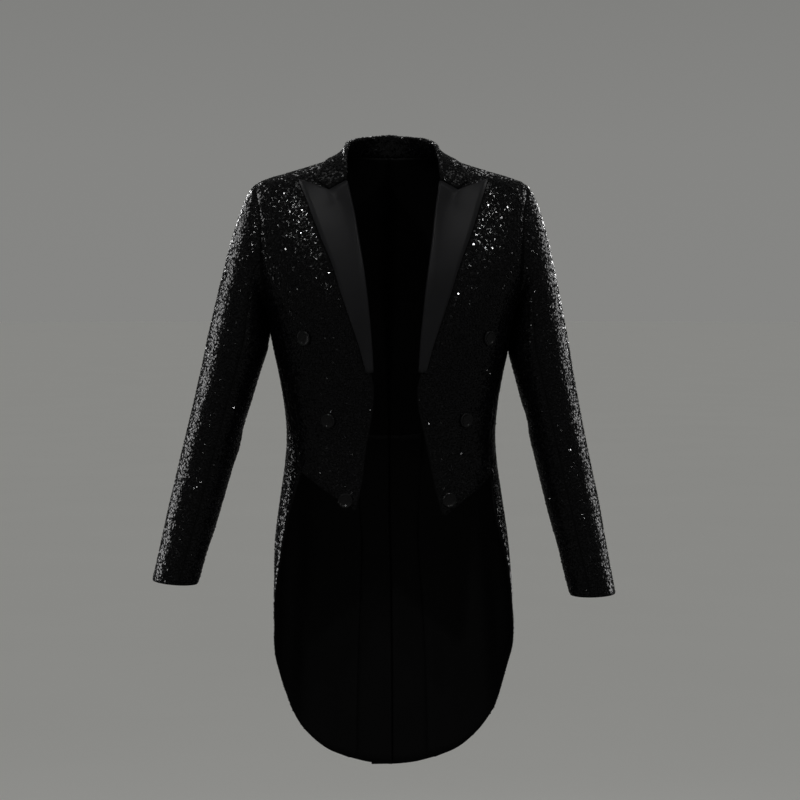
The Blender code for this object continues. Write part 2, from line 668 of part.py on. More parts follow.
def make_sleeve(side_name, side, material, collection):
    """A sleeve in two pieces, as a tailor cuts it, each a stretch of the same rings.

    The rings form a cap drawn out from the armhole, then sections square to the arm down to the cuff.
    """
    start, end = (np.array([p.across, 0, p.height]) for p in SLEEVE_AXIS[side_name])
    axis = (end - start) / np.linalg.norm(end - start)
    outward = np.array([-axis[2], 0, axis[0]])
    ring, way, turns = armhole_ring()
    sections = []
    for section in SLEEVE:
        centre = start + (end - start) * section.along + np.array([0, -section.forward, 0])
        around = section.half_width * np.cos(turns)[:, None] * outward
        forward = section.half_depth * np.sin(turns)[:, None] * np.array([0, -1, 0])
        sections.append(centre + around + forward)
    sections[-1] = sections[-1] + CUFF_DROP * np.cos(turns)[:, None] * axis

    high = (np.cos(turns)[:, None] + 1) / 2
    leave = np.array([1.0, 0, 0]) * (1 - CAP_TURN * high) - np.array([0, 0, CAP_FALL]) * high**2
    leave += way * (UNDERARM_RISE + (CAP_INWARD - UNDERARM_RISE) * high)
    leave /= np.linalg.norm(leave, axis=1, keepdims=True)
    apart = SEAM_GAP + (CLOTH / 2) * np.linalg.norm(np.cross(way, leave), axis=1, keepdims=True)
    first = ring + way * apart
    last = sections[0]
    reach = UNDERARM_REACH + (CAP_REACH - UNDERARM_REACH) * high
    arrive = axis * (UNDERARM_ARRIVAL + CAP_ARRIVAL * high)
    cap = []
    for t in np.linspace(0, 1, CAP_ROWS + 1)[:-1]:
        cap.append(
            (2 * t**3 - 3 * t**2 + 1) * first
            + (t**3 - 2 * t**2 + t) * leave * reach
            + (3 * t**2 - 2 * t**3) * last
            + (t**3 - t**2) * arrive
        )
    rings = np.array(cap + sections)
    first, last = np.searchsorted(np.degrees(turns) + 0.01, UNDER_SLEEVE)
    under = rings[:, first : last + 1].copy()
    top = np.roll(rings, -last, axis=1)[:, : len(turns) - last + first + 1]
    for name, points in (("top_sleeve", top), ("under_sleeve", under)):
        for edge in ("first", "last"):
            draw_in(points, edge, SLEEVE_SEAM_GAP / 2)
        sheet(f"{name}_{side_name}", worn_side(points, side), CLOTH, material, collection, -side)


def collar_half(side_name):
    """The collar's section at each of the panels' own neckline points, from gorge to centre back."""
    along = np.concatenate([neckline(side_name, SHOULDER_ROWS)[::-1], back_neckline()[1:]])
    seam = body(along)
    out = straight_out(along)
    inward = np.cross(out, np.gradient(seam, axis=0))
    inward /= np.linalg.norm(inward, axis=1, keepdims=True)
    inward *= -np.sign((inward * seam * np.array([1, 1, 0])).sum(axis=1))[:, None]
    level = inward * np.array([1, 1, 0])
    level /= np.linalg.norm(level, axis=1, keepdims=True)
    up = np.array([0, 0, 1.0])

    v = distances_along(seam)
    v /= v[-1]
    stand = smooth(COLLAR, "height", v)[:, None]
    lean = smooth(COLLAR, "lean", v)[:, None]
    near_gorge = np.clip(1 - v / GORGE_REACH, 0, 1)[:, None] ** 2
    upright = np.broadcast_to(up, inward.shape)
    apart = SEAM_GAP + (CLOTH / 2) * np.linalg.norm(np.cross(inward, upright), axis=1)[:, None]
    foot = seam + inward * apart - out * COLLAR_SINK
    fold = seam + inward * apart + level * (lean - COLLAR_FOLD) + up * stand
    fold += out * (CLOTH + LAYER_GAP) * near_gorge
    neck_side = fold + level * COLLAR_FOLD
    outer_side = fold - level * COLLAR_FOLD
    crown = fold + up * COLLAR_FOLD

    edge = np.stack([smooth(COLLAR, "edge_angle", v), smooth(COLLAR, "edge_height", v)], axis=-1)
    edge_lift = LEAF_EDGE_LIFT + (LEAF_NOTCH_LIFT - LEAF_EDGE_LIFT) * near_gorge
    leaf_edge = body(edge) + straight_out(edge) * edge_lift
    hinge = seam + out * LEAF_LIFT
    notch_x = front_edge(side_name, np.array([GORGE_HEIGHT]))[0] + NOTCH_INSET
    notch = body(place_across(notch_x, GORGE_HEIGHT - NOTCH_DROP + SEAM_GAP * 2))
    notch = notch + out[0] * LEAF_NOTCH_LIFT
    rows = [foot, (foot + neck_side) / 2, neck_side, crown, outer_side]
    for t in np.linspace(0, 1, LEAF_ROWS + 1)[1:]:
        leaf = (1 - t) ** 2 * outer_side + 2 * t * (1 - t) * hinge + t**2 * leaf_edge
        if t <= 0.5:
            straight = outer_side[0] + (notch - outer_side[0]) * 2 * t
        else:
            straight = notch + (leaf_edge[0] - notch) * (2 * t - 1)
        rows.append(leaf + (straight - leaf[0]) * near_gorge)
    return np.stack(rows, axis=1)


def make_collar(material, collection):
    """The collar in one piece round the neck: a stand, a fold and a leaf that lies on the shoulders."""
    right = worn_side(collar_half("right"), -1)
    left = collar_half("left")
    grid = np.concatenate([right, left[-2::-1]])
    sheet("collar", grid, CLOTH, material, collection)


def button_mesh(material):
    """A turned button: a shallow rim round a dished face, with a flat back."""
    points = [(BUTTON_RADIUS * row.out, 0, BUTTON_THICKNESS * row.up) for row in BUTTON_PROFILE]
    mesh = bpy.data.meshes.new("button")
    mesh.from_pydata(points, [(k, k + 1) for k in range(len(points) - 1)], [])
    mesh.materials.append(material)
    return mesh


def make_button(side_name, side, number, button, mesh, collection):
    """One button, facing squarely out of the front where it is sewn."""
    place = place_across(np.array([getattr(button, side_name)]), np.array([button.height]))
    out = Vector(worn_side(straight_out(place), side)[0])
    point = Vector(hung(body(place), side)[0])
    turned = bpy.data.objects.new(f"button_{side_name}_{number}", mesh)
    collection.objects.link(turned)
    turned.location = point + out * (CLOTH / 2 + LAYER_GAP)
    turned.rotation_mode = "QUATERNION"
    turned.rotation_quaternion = out.to_track_quat("Z", "Y")
    screw = turned.modifiers.new("Turned", "SCREW")
    screw.steps = screw.render_steps = 16
    screw.use_merge_vertices = True
    screw.merge_threshold = 0.00005


def main():
    for old in list(bpy.data.objects):
        bpy.data.objects.remove(old, do_unlink=True)
    collection = new_collection("white tie tailcoat")
    sequins = cloth_material("black sequinned cloth", (0.012, 0.012, 0.013), 0.35)
    satin = cloth_material("black satin", (0.022, 0.022, 0.023), 0.30)
    lining = cloth_material("black lining", (0.010, 0.010, 0.011), 0.55)
    plastic = cloth_material("black button plastic", (0.008, 0.008, 0.009), 0.20)

    button = button_mesh(plastic)
    for side_name, side in (("right", -1), ("left", 1)):
        points, out = make_front(side_name, side, sequins, collection)
        make_lapel(side_name, side, points, out, satin, collection)
        make_side_body(side_name, side, sequins, collection)
        points, out = make_back(side_name, side, sequins, collection)
        make_strip_lining(side_name, side, points, out, lining, collection)
        make_tail(side_name, side, sequins, lining, collection)
        make_sleeve(side_name, side, sequins, collection)
        for number, row in enumerate(BUTTONS, 1):
            make_button(side_name, side, number, row, button, collection)
    make_collar(sequins, collection)


main()
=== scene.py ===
"""White tie tailcoat: the finished cloth, satin, lining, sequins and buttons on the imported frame.

One smooth surface, "the body", carries every panel.  A panel is a grid of places on it, an angle
round the body and a height, between seams that are short lists of places.  Each operator makes one
kind of piece on both sides of the coat.  Metres, +Z up, the front faces -Y, and the wearer's left
is +X.
"""

import math
from collections import namedtuple

import bpy
import numpy as np
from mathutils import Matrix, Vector


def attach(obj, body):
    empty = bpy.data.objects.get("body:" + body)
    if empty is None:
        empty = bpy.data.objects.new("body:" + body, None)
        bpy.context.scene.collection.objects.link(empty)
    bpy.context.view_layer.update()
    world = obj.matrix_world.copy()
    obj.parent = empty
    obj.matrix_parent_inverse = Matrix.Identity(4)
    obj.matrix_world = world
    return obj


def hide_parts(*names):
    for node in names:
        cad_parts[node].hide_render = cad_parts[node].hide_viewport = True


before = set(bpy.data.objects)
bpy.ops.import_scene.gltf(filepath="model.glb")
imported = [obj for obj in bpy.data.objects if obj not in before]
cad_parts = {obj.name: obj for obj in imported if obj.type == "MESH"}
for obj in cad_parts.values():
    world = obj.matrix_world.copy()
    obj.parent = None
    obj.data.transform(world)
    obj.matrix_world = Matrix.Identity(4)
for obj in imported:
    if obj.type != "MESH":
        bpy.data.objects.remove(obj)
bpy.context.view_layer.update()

bl_info = {
    "name": "White tie tailcoat",
    "version": (1, 0, 0),
    "blender": (4, 5, 0),
    "location": "3D View > Sidebar > Tailcoat",
    "description": "Builds the visible pieces of a sequinned tailcoat on its packed frame",
    "category": "Object",
}

SIDES = (("right", -1), ("left", 1))
CLOTH = 0.0020
LINING = 0.0010

# The body: half a width and two depths at each height, and how square the section is.
Ring = namedtuple("Ring", "height half_width front_depth back_depth squareness")
BODY = [
    Ring(0.000, 0.069, 0.062, 0.065, 2.15),
    Ring(-0.006, 0.085, 0.065, 0.068, 2.15),
    Ring(-0.012, 0.104, 0.067, 0.072, 2.15),
    Ring(-0.024, 0.143, 0.073, 0.079, 2.15),
    Ring(-0.036, 0.183, 0.079, 0.086, 2.15),
    Ring(-0.041, 0.196, 0.081, 0.089, 2.18),
    Ring(-0.050, 0.206, 0.085, 0.093, 2.20),
    Ring(-0.065, 0.214, 0.091, 0.099, 2.20),
    Ring(-0.090, 0.219, 0.100, 0.107, 2.20),
    Ring(-0.120, 0.220, 0.109, 0.115, 2.22),
    Ring(-0.160, 0.213, 0.118, 0.121, 2.25),
    Ring(-0.200, 0.199, 0.1235, 0.1225, 2.28),
    Ring(-0.240, 0.1845, 0.125, 0.120, 2.30),
    Ring(-0.290, 0.1735, 0.1215, 0.112, 2.30),
    Ring(-0.335, 0.164, 0.115, 0.104, 2.30),
    Ring(-0.380, 0.157, 0.1095, 0.098, 2.30),
    Ring(-0.425, 0.1545, 0.107, 0.096, 2.30),
    Ring(-0.455, 0.1565, 0.108, 0.099, 2.30),
    Ring(-0.515, 0.1645, 0.112, 0.110, 2.30),
    Ring(-0.580, 0.173, 0.116, 0.120, 2.30),
    Ring(-0.640, 0.177, 0.118, 0.125, 2.30),
    Ring(-0.700, 0.180, 0.118, 0.126, 2.30),
    Ring(-0.780, 0.183, 0.118, 0.125, 2.30),
    Ring(-0.860, 0.185, 0.118, 0.123, 2.30),
    Ring(-0.950, 0.185, 0.118, 0.121, 2.30),
]
ANGLE_STEP = np.array([0.01, 0.0])
HEIGHT_STEP = np.array([0.0, 0.0001])

# The open front: how far each front's edge stands from the centre line, and the lapel's width.
Edge = namedtuple("Edge", "height right left lapel_width")
FRONT_EDGE = [
    Edge(-0.038, 0.0664, 0.0686, 0.0710),
    Edge(-0.065, 0.0600, 0.0640, 0.0665),
    Edge(-0.090, 0.0548, 0.0600, 0.0625),
    Edge(-0.120, 0.0500, 0.0567, 0.0557),
    Edge(-0.160, 0.0435, 0.0512, 0.0455),
    Edge(-0.200, 0.0384, 0.0459, 0.0380),
    Edge(-0.240, 0.0341, 0.0416, 0.0290),
    Edge(-0.280, 0.0307, 0.0379, 0.0190),
    Edge(-0.318, 0.0286, 0.0360, 0.0105),
    Edge(-0.350, 0.0283, 0.0347, 0.0),
    Edge(-0.375, 0.0298, 0.0368, 0.0),
    Edge(-0.400, 0.0339, 0.0425, 0.0),
    Edge(-0.435, 0.0400, 0.0502, 0.0),
    Edge(-0.480, 0.0458, 0.0592, 0.0),
    Edge(-0.522, 0.0559, 0.0695, 0.0),
    Edge(-0.535, 0.0600, 0.0740, 0.0),
]
GORGE_HEIGHT = -0.0415
LAPEL_END = -0.318
PEAK_TIP_HEIGHT = -0.038
NOTCH_INSET = 0.0225
NOTCH_DROP = 0.0130
ROLL_RADIUS = 0.0028
ROLL_FADE = 0.024
LAPEL_LOFT = 0.0016
ROLL_TURNS = np.radians(np.linspace(140, 14, 10))

# A short crease that leans down the lapel from its notch, and the lapel's slow wave.  Places and
# lengths are shares of the lapel's width and height.
CREASE_DEPTH = 0.0009
CREASE_PLACE = 0.45
CREASE_LEAN = 0.9
CREASE_WIDTH = 0.05
CREASE_LENGTH = 0.10
WAVE_DEPTH = 0.0005
WAVE_DOWN = 14.0
WAVE_ACROSS = 2.0

# The cutaway hem, from the front's corner to the side seam.
Place = namedtuple("Place", "across height")
CUTAWAY = {
    "right": [
        Place(0.0559, -0.5222),
        Place(0.0795, -0.5055),
        Place(0.1030, -0.4905),
        Place(0.1340, -0.4672),
    ],
    "left": [
        Place(0.0726, -0.5316),
        Place(0.0990, -0.5110),
        Place(0.1220, -0.4940),
        Place(0.1455, -0.4740),
    ],
}

# Seams: degrees round the body from the centre front, and height.
Stitch = namedtuple("Stitch", "angle height")
Stop = namedtuple("Stop", "run angle height")
ARMHOLE_DEPTH = 0.060
ARMHOLE_TOP = -0.041
ARMHOLE_BOTTOM = -0.235
PEAK_ON_ARMHOLE = 55.0
SIDE_ON_ARMHOLE = 150.0
BACK_ON_ARMHOLE = 245.0
WAIST_AT_SIDE = Stitch(90.0, -0.432)
WAIST_BETWEEN = Stitch(125.0, -0.423)
WAIST_AT_BACK = Stitch(164.0, -0.420)
SIDE_SEAM_MIDDLE = Stitch(69.0, -0.400)
BACK_SEAM_MIDDLE = [Stitch(134.0, -0.250), Stitch(155.0, -0.330)]
TAIL_EDGE = [
    Stitch(64.0, -0.525),
    Stitch(71.0, -0.590),
    Stitch(82.0, -0.660),
    Stitch(97.0, -0.730),
    Stitch(108.0, -0.770),
    Stitch(116.0, -0.806),
]
TAIL_CORNER = Stitch(124.5, -0.842)
TAIL_ROUND = [Stitch(137.0, -0.882), Stitch(151.0, -0.914)]
STRIP_FOOT = Stitch(161.5, -0.9275)
STRIP_HEM = Stitch(170.0, -0.9355)
STRIP_MIDDLE = [Stitch(164.5, -0.560), Stitch(162.5, -0.750)]
TAIL_FOOT = -0.9405
SHOULDER_ON_BACK = -0.060
BACK_ON_CENTRE = -0.195
WAIST_ON_CENTRE = -0.424
VENT_LAP = 7.5
VENT_CLEARANCE = 0.0002
PLEAT_TUCK = 4.0
PLEAT_SINK = 0.0044
PLEAT_START = 0.12

# How far the coat swings to the wearer's left at each height below the waist.
Swing = namedtuple("Swing", "height across")
SWING = [
    Swing(-0.450, 0.0),
    Swing(-0.540, 0.0006),
    Swing(-0.640, 0.0032),
    Swing(-0.760, 0.0045),
    Swing(-0.950, 0.0050),
]

# Sleeves: share of the way to the cuff, half widths across and fore-and-aft, and how far forward.
Section = namedtuple("Section", "along half_width half_depth forward")
SLEEVE = [
    Section(0.29, 0.0440, 0.0620, 0.000),
    Section(0.37, 0.0418, 0.0590, 0.001),
    Section(0.46, 0.0402, 0.0560, 0.003),
    Section(0.55, 0.0390, 0.0535, 0.007),
    Section(0.64, 0.0382, 0.0515, 0.012),
    Section(0.73, 0.0370, 0.0500, 0.019),
    Section(0.82, 0.0356, 0.0480, 0.027),
    Section(0.91, 0.0336, 0.0455, 0.036),
    Section(1.00, 0.0318, 0.0430, 0.044),
]
SLEEVE_AXIS = {
    "right": (Place(0.1925, -0.138), Place(0.3215, -0.631)),
    "left": (Place(0.1900, -0.138), Place(0.2995, -0.652)),
}
CUFF_DROP = 0.0055
UNDER_SLEEVE = (100.0, 245.0)
CAP_TURN = 0.25
CAP_FALL = 0.30
CAP_INWARD = 0.25
UNDERARM_RISE = 0.38
CAP_REACH = 0.092
UNDERARM_REACH = 0.034
CAP_ARRIVAL = 0.10
UNDERARM_ARRIVAL = 0.05

# Collar: share of the neckline from gorge to centre back, the stand's height and lean, and the
# place on the body that the leaf's edge comes down to.
Stand = namedtuple("Stand", "along height lean edge_angle edge_height")
COLLAR = [
    Stand(0.00, 0.0006, 0.0000, 31.5, -0.0415),
    Stand(0.16, 0.0075, 0.0010, 46.0, -0.0240),
    Stand(0.32, 0.0120, 0.0030, 66.0, -0.0130),
    Stand(0.46, 0.0160, 0.0050, 90.0, -0.0066),
    Stand(0.70, 0.0245, 0.0065, 130.0, -0.0100),
    Stand(1.00, 0.0310, 0.0030, 180.0, -0.0130),
]
COLLAR_FOLD = 0.0019
COLLAR_SINK = 0.0004
LEAF_LIFT = 0.0046
LEAF_EDGE_LIFT = 0.0031
LEAF_NOTCH_LIFT = 0.0040
GORGE_REACH = 0.34

Button = namedtuple("Button", "right left height")
BUTTONS = [
    Button(0.1285, 0.1400, -0.2690),
    Button(0.0935, 0.1065, -0.3895),
    Button(0.0695, 0.0810, -0.5060),
]
BUTTON_RADIUS = 0.0110
BUTTON_THICKNESS = 0.0040
BUTTON_SIDES = 48

# A button's turned profile from the face's middle, as shares of its radius and of its thickness.
Turn = namedtuple("Turn", "out up")
BUTTON_PROFILE = [
    Turn(0.00, 0.60),
    Turn(0.30, 0.61),
    Turn(0.55, 0.64),
    Turn(0.66, 0.70),
    Turn(0.72, 0.86),
    Turn(0.78, 0.97),
    Turn(0.86, 1.00),
    Turn(0.92, 0.97),
    Turn(0.97, 0.86),
    Turn(1.00, 0.62),
    Turn(0.99, 0.34),
    Turn(0.95, 0.10),
    Turn(0.88, 0.00),
    Turn(0.00, 0.00),
]
LATHE_TURNS = 9000

SEAM_GAP = 0.0004
LAYER_GAP = 0.0004
LINING_GAP = 0.0006
LINING_SETBACK = 0.0030

# Folds of the worn cloth: middle as degrees and height, half lengths the same way, how far the
# middle line leans in degrees for each metre of height, and depth, troughs negative.
Fold = namedtuple("Fold", "angle height wide tall lean depth")
FOLDS = [
    Fold(30.0, -0.395, 5.0, 0.060, -60.0, 0.0011),
    Fold(40.0, -0.425, 5.0, 0.045, -90.0, -0.0012),
    Fold(52.0, -0.385, 6.0, 0.060, -70.0, -0.0010),
    Fold(60.0, -0.300, 5.0, 0.080, 45.0, -0.0013),
    Fold(75.0, -0.350, 6.0, 0.080, 20.0, 0.0013),
    Fold(98.0, -0.330, 6.0, 0.090, -15.0, -0.0014),
    Fold(120.0, -0.285, 6.0, 0.090, -40.0, 0.0014),
    Fold(136.0, -0.360, 6.0, 0.070, -60.0, -0.0012),
    Fold(150.0, -0.150, 9.0, 0.070, -80.0, 0.0016),
    Fold(166.0, -0.250, 5.0, 0.090, 20.0, -0.0010),
    Fold(172.0, -0.400, 4.0, 0.050, 30.0, 0.0009),
    Fold(82.0, -0.560, 5.0, 0.090, 30.0, 0.0020),
    Fold(94.0, -0.620, 5.0, 0.110, 45.0, -0.0024),
    Fold(107.0, -0.640, 6.0, 0.150, 25.0, 0.0026),
    Fold(121.0, -0.700, 6.0, 0.150, 15.0, -0.0026),
    Fold(134.0, -0.740, 6.0, 0.170, 10.0, 0.0024),
    Fold(148.0, -0.780, 5.0, 0.150, -8.0, -0.0022),
]
SLEEVE_FOLDS = [
    Fold(182.0, 0.13, 46.0, 0.085, 0.0, 0.0078),
    Fold(300.0, 0.20, 22.0, 0.060, -150.0, -0.0022),
    Fold(250.0, 0.30, 26.0, 0.070, -120.0, 0.0018),
    Fold(60.0, 0.40, 26.0, 0.050, 180.0, -0.0016),
    Fold(200.0, 0.50, 34.0, 0.040, 160.0, -0.0026),
    Fold(165.0, 0.56, 34.0, 0.034, -130.0, 0.0020),
    Fold(120.0, 0.62, 30.0, 0.040, 120.0, -0.0016),
    Fold(260.0, 0.68, 30.0, 0.050, -110.0, -0.0016),
    Fold(30.0, 0.78, 24.0, 0.060, 90.0, 0.0012),
    Fold(190.0, 0.88, 30.0, 0.045, 100.0, -0.0016),
]

# How far each side's folds differ from the table: degrees round, and a stretch along.
Shift = namedtuple("Shift", "turn stretch")
BODY_SHIFT = {-1: Shift(-2.5, 0.98), 1: Shift(3.5, 1.03)}
SLEEVE_SHIFT = {-1: Shift(-9.0, 0.97), 1: Shift(12.0, 1.04)}
SLEEVE_FOLD_START = 0.12

# The flat cut of each piece of cloth, without seam allowances: width, length and area.
Cut = namedtuple("Cut", "width length area")

# Grids: how much finer than the frame's the shells are, and the sequins' grids again.
FINE = 3
LAPEL_COLUMNS = 5 * FINE
FRONT_COLUMNS = 6 * FINE
SHOULDER_ROWS = 5 * FINE
ARMHOLE_ROWS = 8 * FINE
LAPEL_TAIL_ROWS = 4 * FINE
SKIRT_OF_FRONT_ROWS = 6 * FINE
SIDE_COLUMNS = 9 * FINE
BACK_COLUMNS = 6 * FINE
BACK_ARMHOLE_ROWS = 6 * FINE
TAIL_ROWS = 12 * FINE
CAP_ROWS = 5 * FINE
SLEEVE_ROWS = 8 * FINE
STAND_ROWS = 5
CROWN_ROWS = 8
LEAF_ROWS = 4 * FINE
SEAM_ROWS = LAPEL_TAIL_ROWS + SKIRT_OF_FRONT_ROWS
WAIST_ROW = SHOULDER_ROWS + BACK_ARMHOLE_ROWS + SEAM_ROWS
DENSER = 3

# How many samples a line is read at before it is spaced evenly.
NECK_SAMPLES = 120
EDGE_SAMPLES = 200
SHORT_EDGE_SAMPLES = 80
CURVE_SAMPLES = 400

# Sequins: the share of a cell that their middles may lie in, and how high they stand over the
# middle of the cloth.
CELL_SHARE = 0.8
SEQUIN_LIFT = 0.0012
SEQUIN_LIFT_SPREAD = 0.0007

# Sequins near a seam or an edge: the strip left bare for the stitching, how far in the cloth turns
# down toward it, and by how much.
SEAM_BARE = 0.0019
SEAM_REACH = 0.0048
SEAM_LEAN = 0.42

# The studio's soft boxes: place, the point aimed at, size, watts, and how wide the light fans out
# in degrees.
SoftBox = namedtuple("SoftBox", "name place aim size energy spread")
SOFT_BOXES = [
    SoftBox("left_box", (-2.15, 1.0, 0.0), (-0.2, 0, -0.35), (1.1, 2.4), 7.6, 100),
    SoftBox("right_box", (2.2, 1.1, 0.0), (0.2, 0, -0.35), (0.9, 2.4), 5, 100),
    SoftBox("overhead", (0.1, -0.5, 2.4), (0, 0, -0.2), (1.6, 1.6), 0.7, 60),
    SoftBox("left_key", (-1.9, -2.4, 1.9), (-0.1, -0.1, -0.2), (0.14, 0.14), 0.85, 50),
    SoftBox("right_key", (2.1, -2.2, 1.7), (0.1, -0.1, -0.2), (0.14, 0.14), 0.6, 50),
    SoftBox("back_fill", (0.2, 3.2, 2.6), (0, 0, -0.4), (1.6, 1.6), 1.4, 50),
    SoftBox("back_left_key", (-1.5, 3.0, 0.7), (0, 0.1, -0.45), (0.5, 0.9), 1.6, 60),
    SoftBox("back_right_key", (1.6, 2.9, 0.4), (0, 0.1, -0.45), (0.5, 0.9), 1.4, 60),
]

# The surroundings' greys, from the horizon up to the rest of the room, and how much of their light
# the glossy surfaces give back.
Grey = namedtuple("Grey", "place colour")
WALL = [Grey(0.0, "868684"), Grey(0.20, "858583"), Grey(0.40, "80807e"), Grey(1.0, "969694")]
WALL_FOOT = -0.01
WALL_HEAD = 0.30
WALL_IN_GLOSS = 0.2
FLOOR_RADIUS = 60.0
FLOOR_SIDES = 96


# ---------------------------------------------------------------- the body and its seams


def smooth(rows, column, at):
    """Cubic reading of a table's column: Hermite pieces with the rows' own gradients as slopes."""
    keys = np.array([row[0] for row in rows], float)
    values = np.array([getattr(row, column) for row in rows], float)
    order = np.argsort(keys)
    keys, values = keys[order], values[order]
    slopes = np.gradient(values, keys)
    at = np.clip(np.asarray(at, float), keys[0], keys[-1])
    k = np.clip(np.searchsorted(keys, at) - 1, 0, len(keys) - 2)
    step = keys[k + 1] - keys[k]
    t = (at - keys[k]) / step
    return (
        (2 * t**3 - 3 * t**2 + 1) * values[k]
        + (t**3 - 2 * t**2 + t) * step * slopes[k]
        + (3 * t**2 - 2 * t**3) * values[k + 1]
        + (t**3 - t**2) * step * slopes[k + 1]
    )


def unit(vectors):
    """The same ways, each one metre long."""
    return vectors / np.linalg.norm(vectors, axis=-1, keepdims=True)


def body(places):
    """Superellipse sections: x as sin^p and y as cos^p of the angle, sized by the rings' table."""
    angle = np.radians(places[..., 0])
    height = places[..., 1]
    power = 2 / smooth(BODY, "squareness", height)
    across, along = np.sin(angle), np.cos(angle)
    in_front = smooth(BODY, "front_depth", height)
    depth = np.where(along > 0, in_front, smooth(BODY, "back_depth", height))
    x = smooth(BODY, "half_width", height) * np.sign(across) * np.abs(across) ** power
    y = -depth * np.sign(along) * np.abs(along) ** power
    return np.stack([x, y, height], axis=-1)


def straight_out(places):
    """Unit normals of the body: the cross product of its two small steps."""
    by_angle = body(places + ANGLE_STEP) - body(places - ANGLE_STEP)
    by_height = body(places - HEIGHT_STEP) - body(places + HEIGHT_STEP)
    return unit(np.cross(by_height, by_angle))


def place_across(x, height):
    """The place on the front at a distance from the centre line: body() solved for the angle."""
    half_width = smooth(BODY, "half_width", height)
    power = smooth(BODY, "squareness", height) / 2
    angle = np.degrees(np.arcsin(np.clip(x / half_width, 0, 1) ** power))
    return np.stack([angle, np.broadcast_to(height, angle.shape)], axis=-1)


def place_back_and_forth(y, height):
    """The place on the side, so far before (-) or behind (+) the armhole's middle."""
    in_front = smooth(BODY, "front_depth", height)
    depth = np.where(y < 0, in_front, smooth(BODY, "back_depth", height))
    power = smooth(BODY, "squareness", height) / 2
    away = np.degrees(np.arccos(np.clip(np.abs(y) / depth, 0, 1) ** power))
    return np.stack([np.where(y < 0, away, 180 - away), height], axis=-1)


def distances_along(points):
    """Running length of a line of points."""
    return np.concatenate([[0], np.cumsum(np.linalg.norm(np.diff(points, axis=0), axis=1))])


def evenly(places, steps):
    """The same line as steps + 1 places, evenly spaced along it in space."""
    run = distances_along(body(places))
    wanted = np.linspace(0, run[-1], steps + 1)
    return np.stack([np.interp(wanted, run, places[:, k]) for k in (0, 1)], axis=-1)


def curve_through(stitches, steps):
    """A cubic line through a few places by running length, then evenly spaced."""
    control = np.array([tuple(stitch) for stitch in stitches])
    run = distances_along(body(control))
    rows = [Stop(r, a, h) for r, (a, h) in zip(run, control)]
    fine = np.linspace(0, run[-1], CURVE_SAMPLES)
    places = np.stack([smooth(rows, "angle", fine), smooth(rows, "height", fine)], axis=-1)
    return evenly(places, steps)


def line(start, end, steps):
    """A straight run of places from one to another."""
    return np.linspace(np.asarray(start, float), np.asarray(end, float), steps + 1)


def fill(top, bottom, first, last):
    """Coons patch: the two blends of facing sides, less the blend of the four corners."""
    s = np.linspace(0, 1, len(top))[None, :, None]
    t = np.linspace(0, 1, len(first))[:, None, None]
    sides = (1 - s) * first[:, None] + s * last[:, None]
    ends = (1 - t) * top[None] + t * bottom[None]
    top_corners = (1 - s) * top[0] + s * top[-1]
    bottom_corners = (1 - s) * bottom[0] + s * bottom[-1]
    return sides + ends - (1 - t) * top_corners - t * bottom_corners


def front_edge(side_name, heights):
    """Where the front panel ends: behind the lapel's roll, and at the plain edge below it."""
    visible = smooth(FRONT_EDGE, side_name, heights)
    below_lapel = np.clip((LAPEL_END - heights) / ROLL_FADE, 0, 1)
    return visible + (ROLL_RADIUS + CLOTH / 2) * (1 - below_lapel)


def neckline(side_name, steps):
    """From the neck point to the gorge: straight across and falling as the square of the way."""
    q = np.linspace(0, 1, NECK_SAMPLES)
    gorge = front_edge(side_name, np.array([GORGE_HEIGHT]))[0]
    places = place_across(BODY[0].half_width * (1 - q) + gorge * q, GORGE_HEIGHT * q**2)
    return evenly(places, steps)


def back_neckline():
    """From the neck point round to the centre back."""
    return line((90, 0), (180, 0), BACK_COLUMNS)


def armhole(start, end, steps):
    """A stretch of the armhole: an ellipse in depth and height, laid on the body's side."""
    turn = np.radians(np.linspace(start, end, steps + 1))
    middle = (ARMHOLE_TOP + ARMHOLE_BOTTOM) / 2
    height = middle + (ARMHOLE_TOP - middle) * np.cos(turn)
    return place_back_and_forth(-ARMHOLE_DEPTH * np.sin(turn), height)


def front_seams(side_name):
    """The front's hem and side seam."""
    cutaway = np.array([tuple(place) for place in CUTAWAY[side_name]])
    hem_x = np.linspace(cutaway[0, 0], cutaway[-1, 0], SHORT_EDGE_SAMPLES)
    hem_z = np.interp(hem_x, cutaway[:, 0], cutaway[:, 1])
    hem = evenly(place_across(hem_x, hem_z), LAPEL_COLUMNS + FRONT_COLUMNS)
    side_top = armhole(SIDE_ON_ARMHOLE, SIDE_ON_ARMHOLE, 0)[0]
    return hem, curve_through([side_top, SIDE_SEAM_MIDDLE, hem[-1]], SEAM_ROWS)


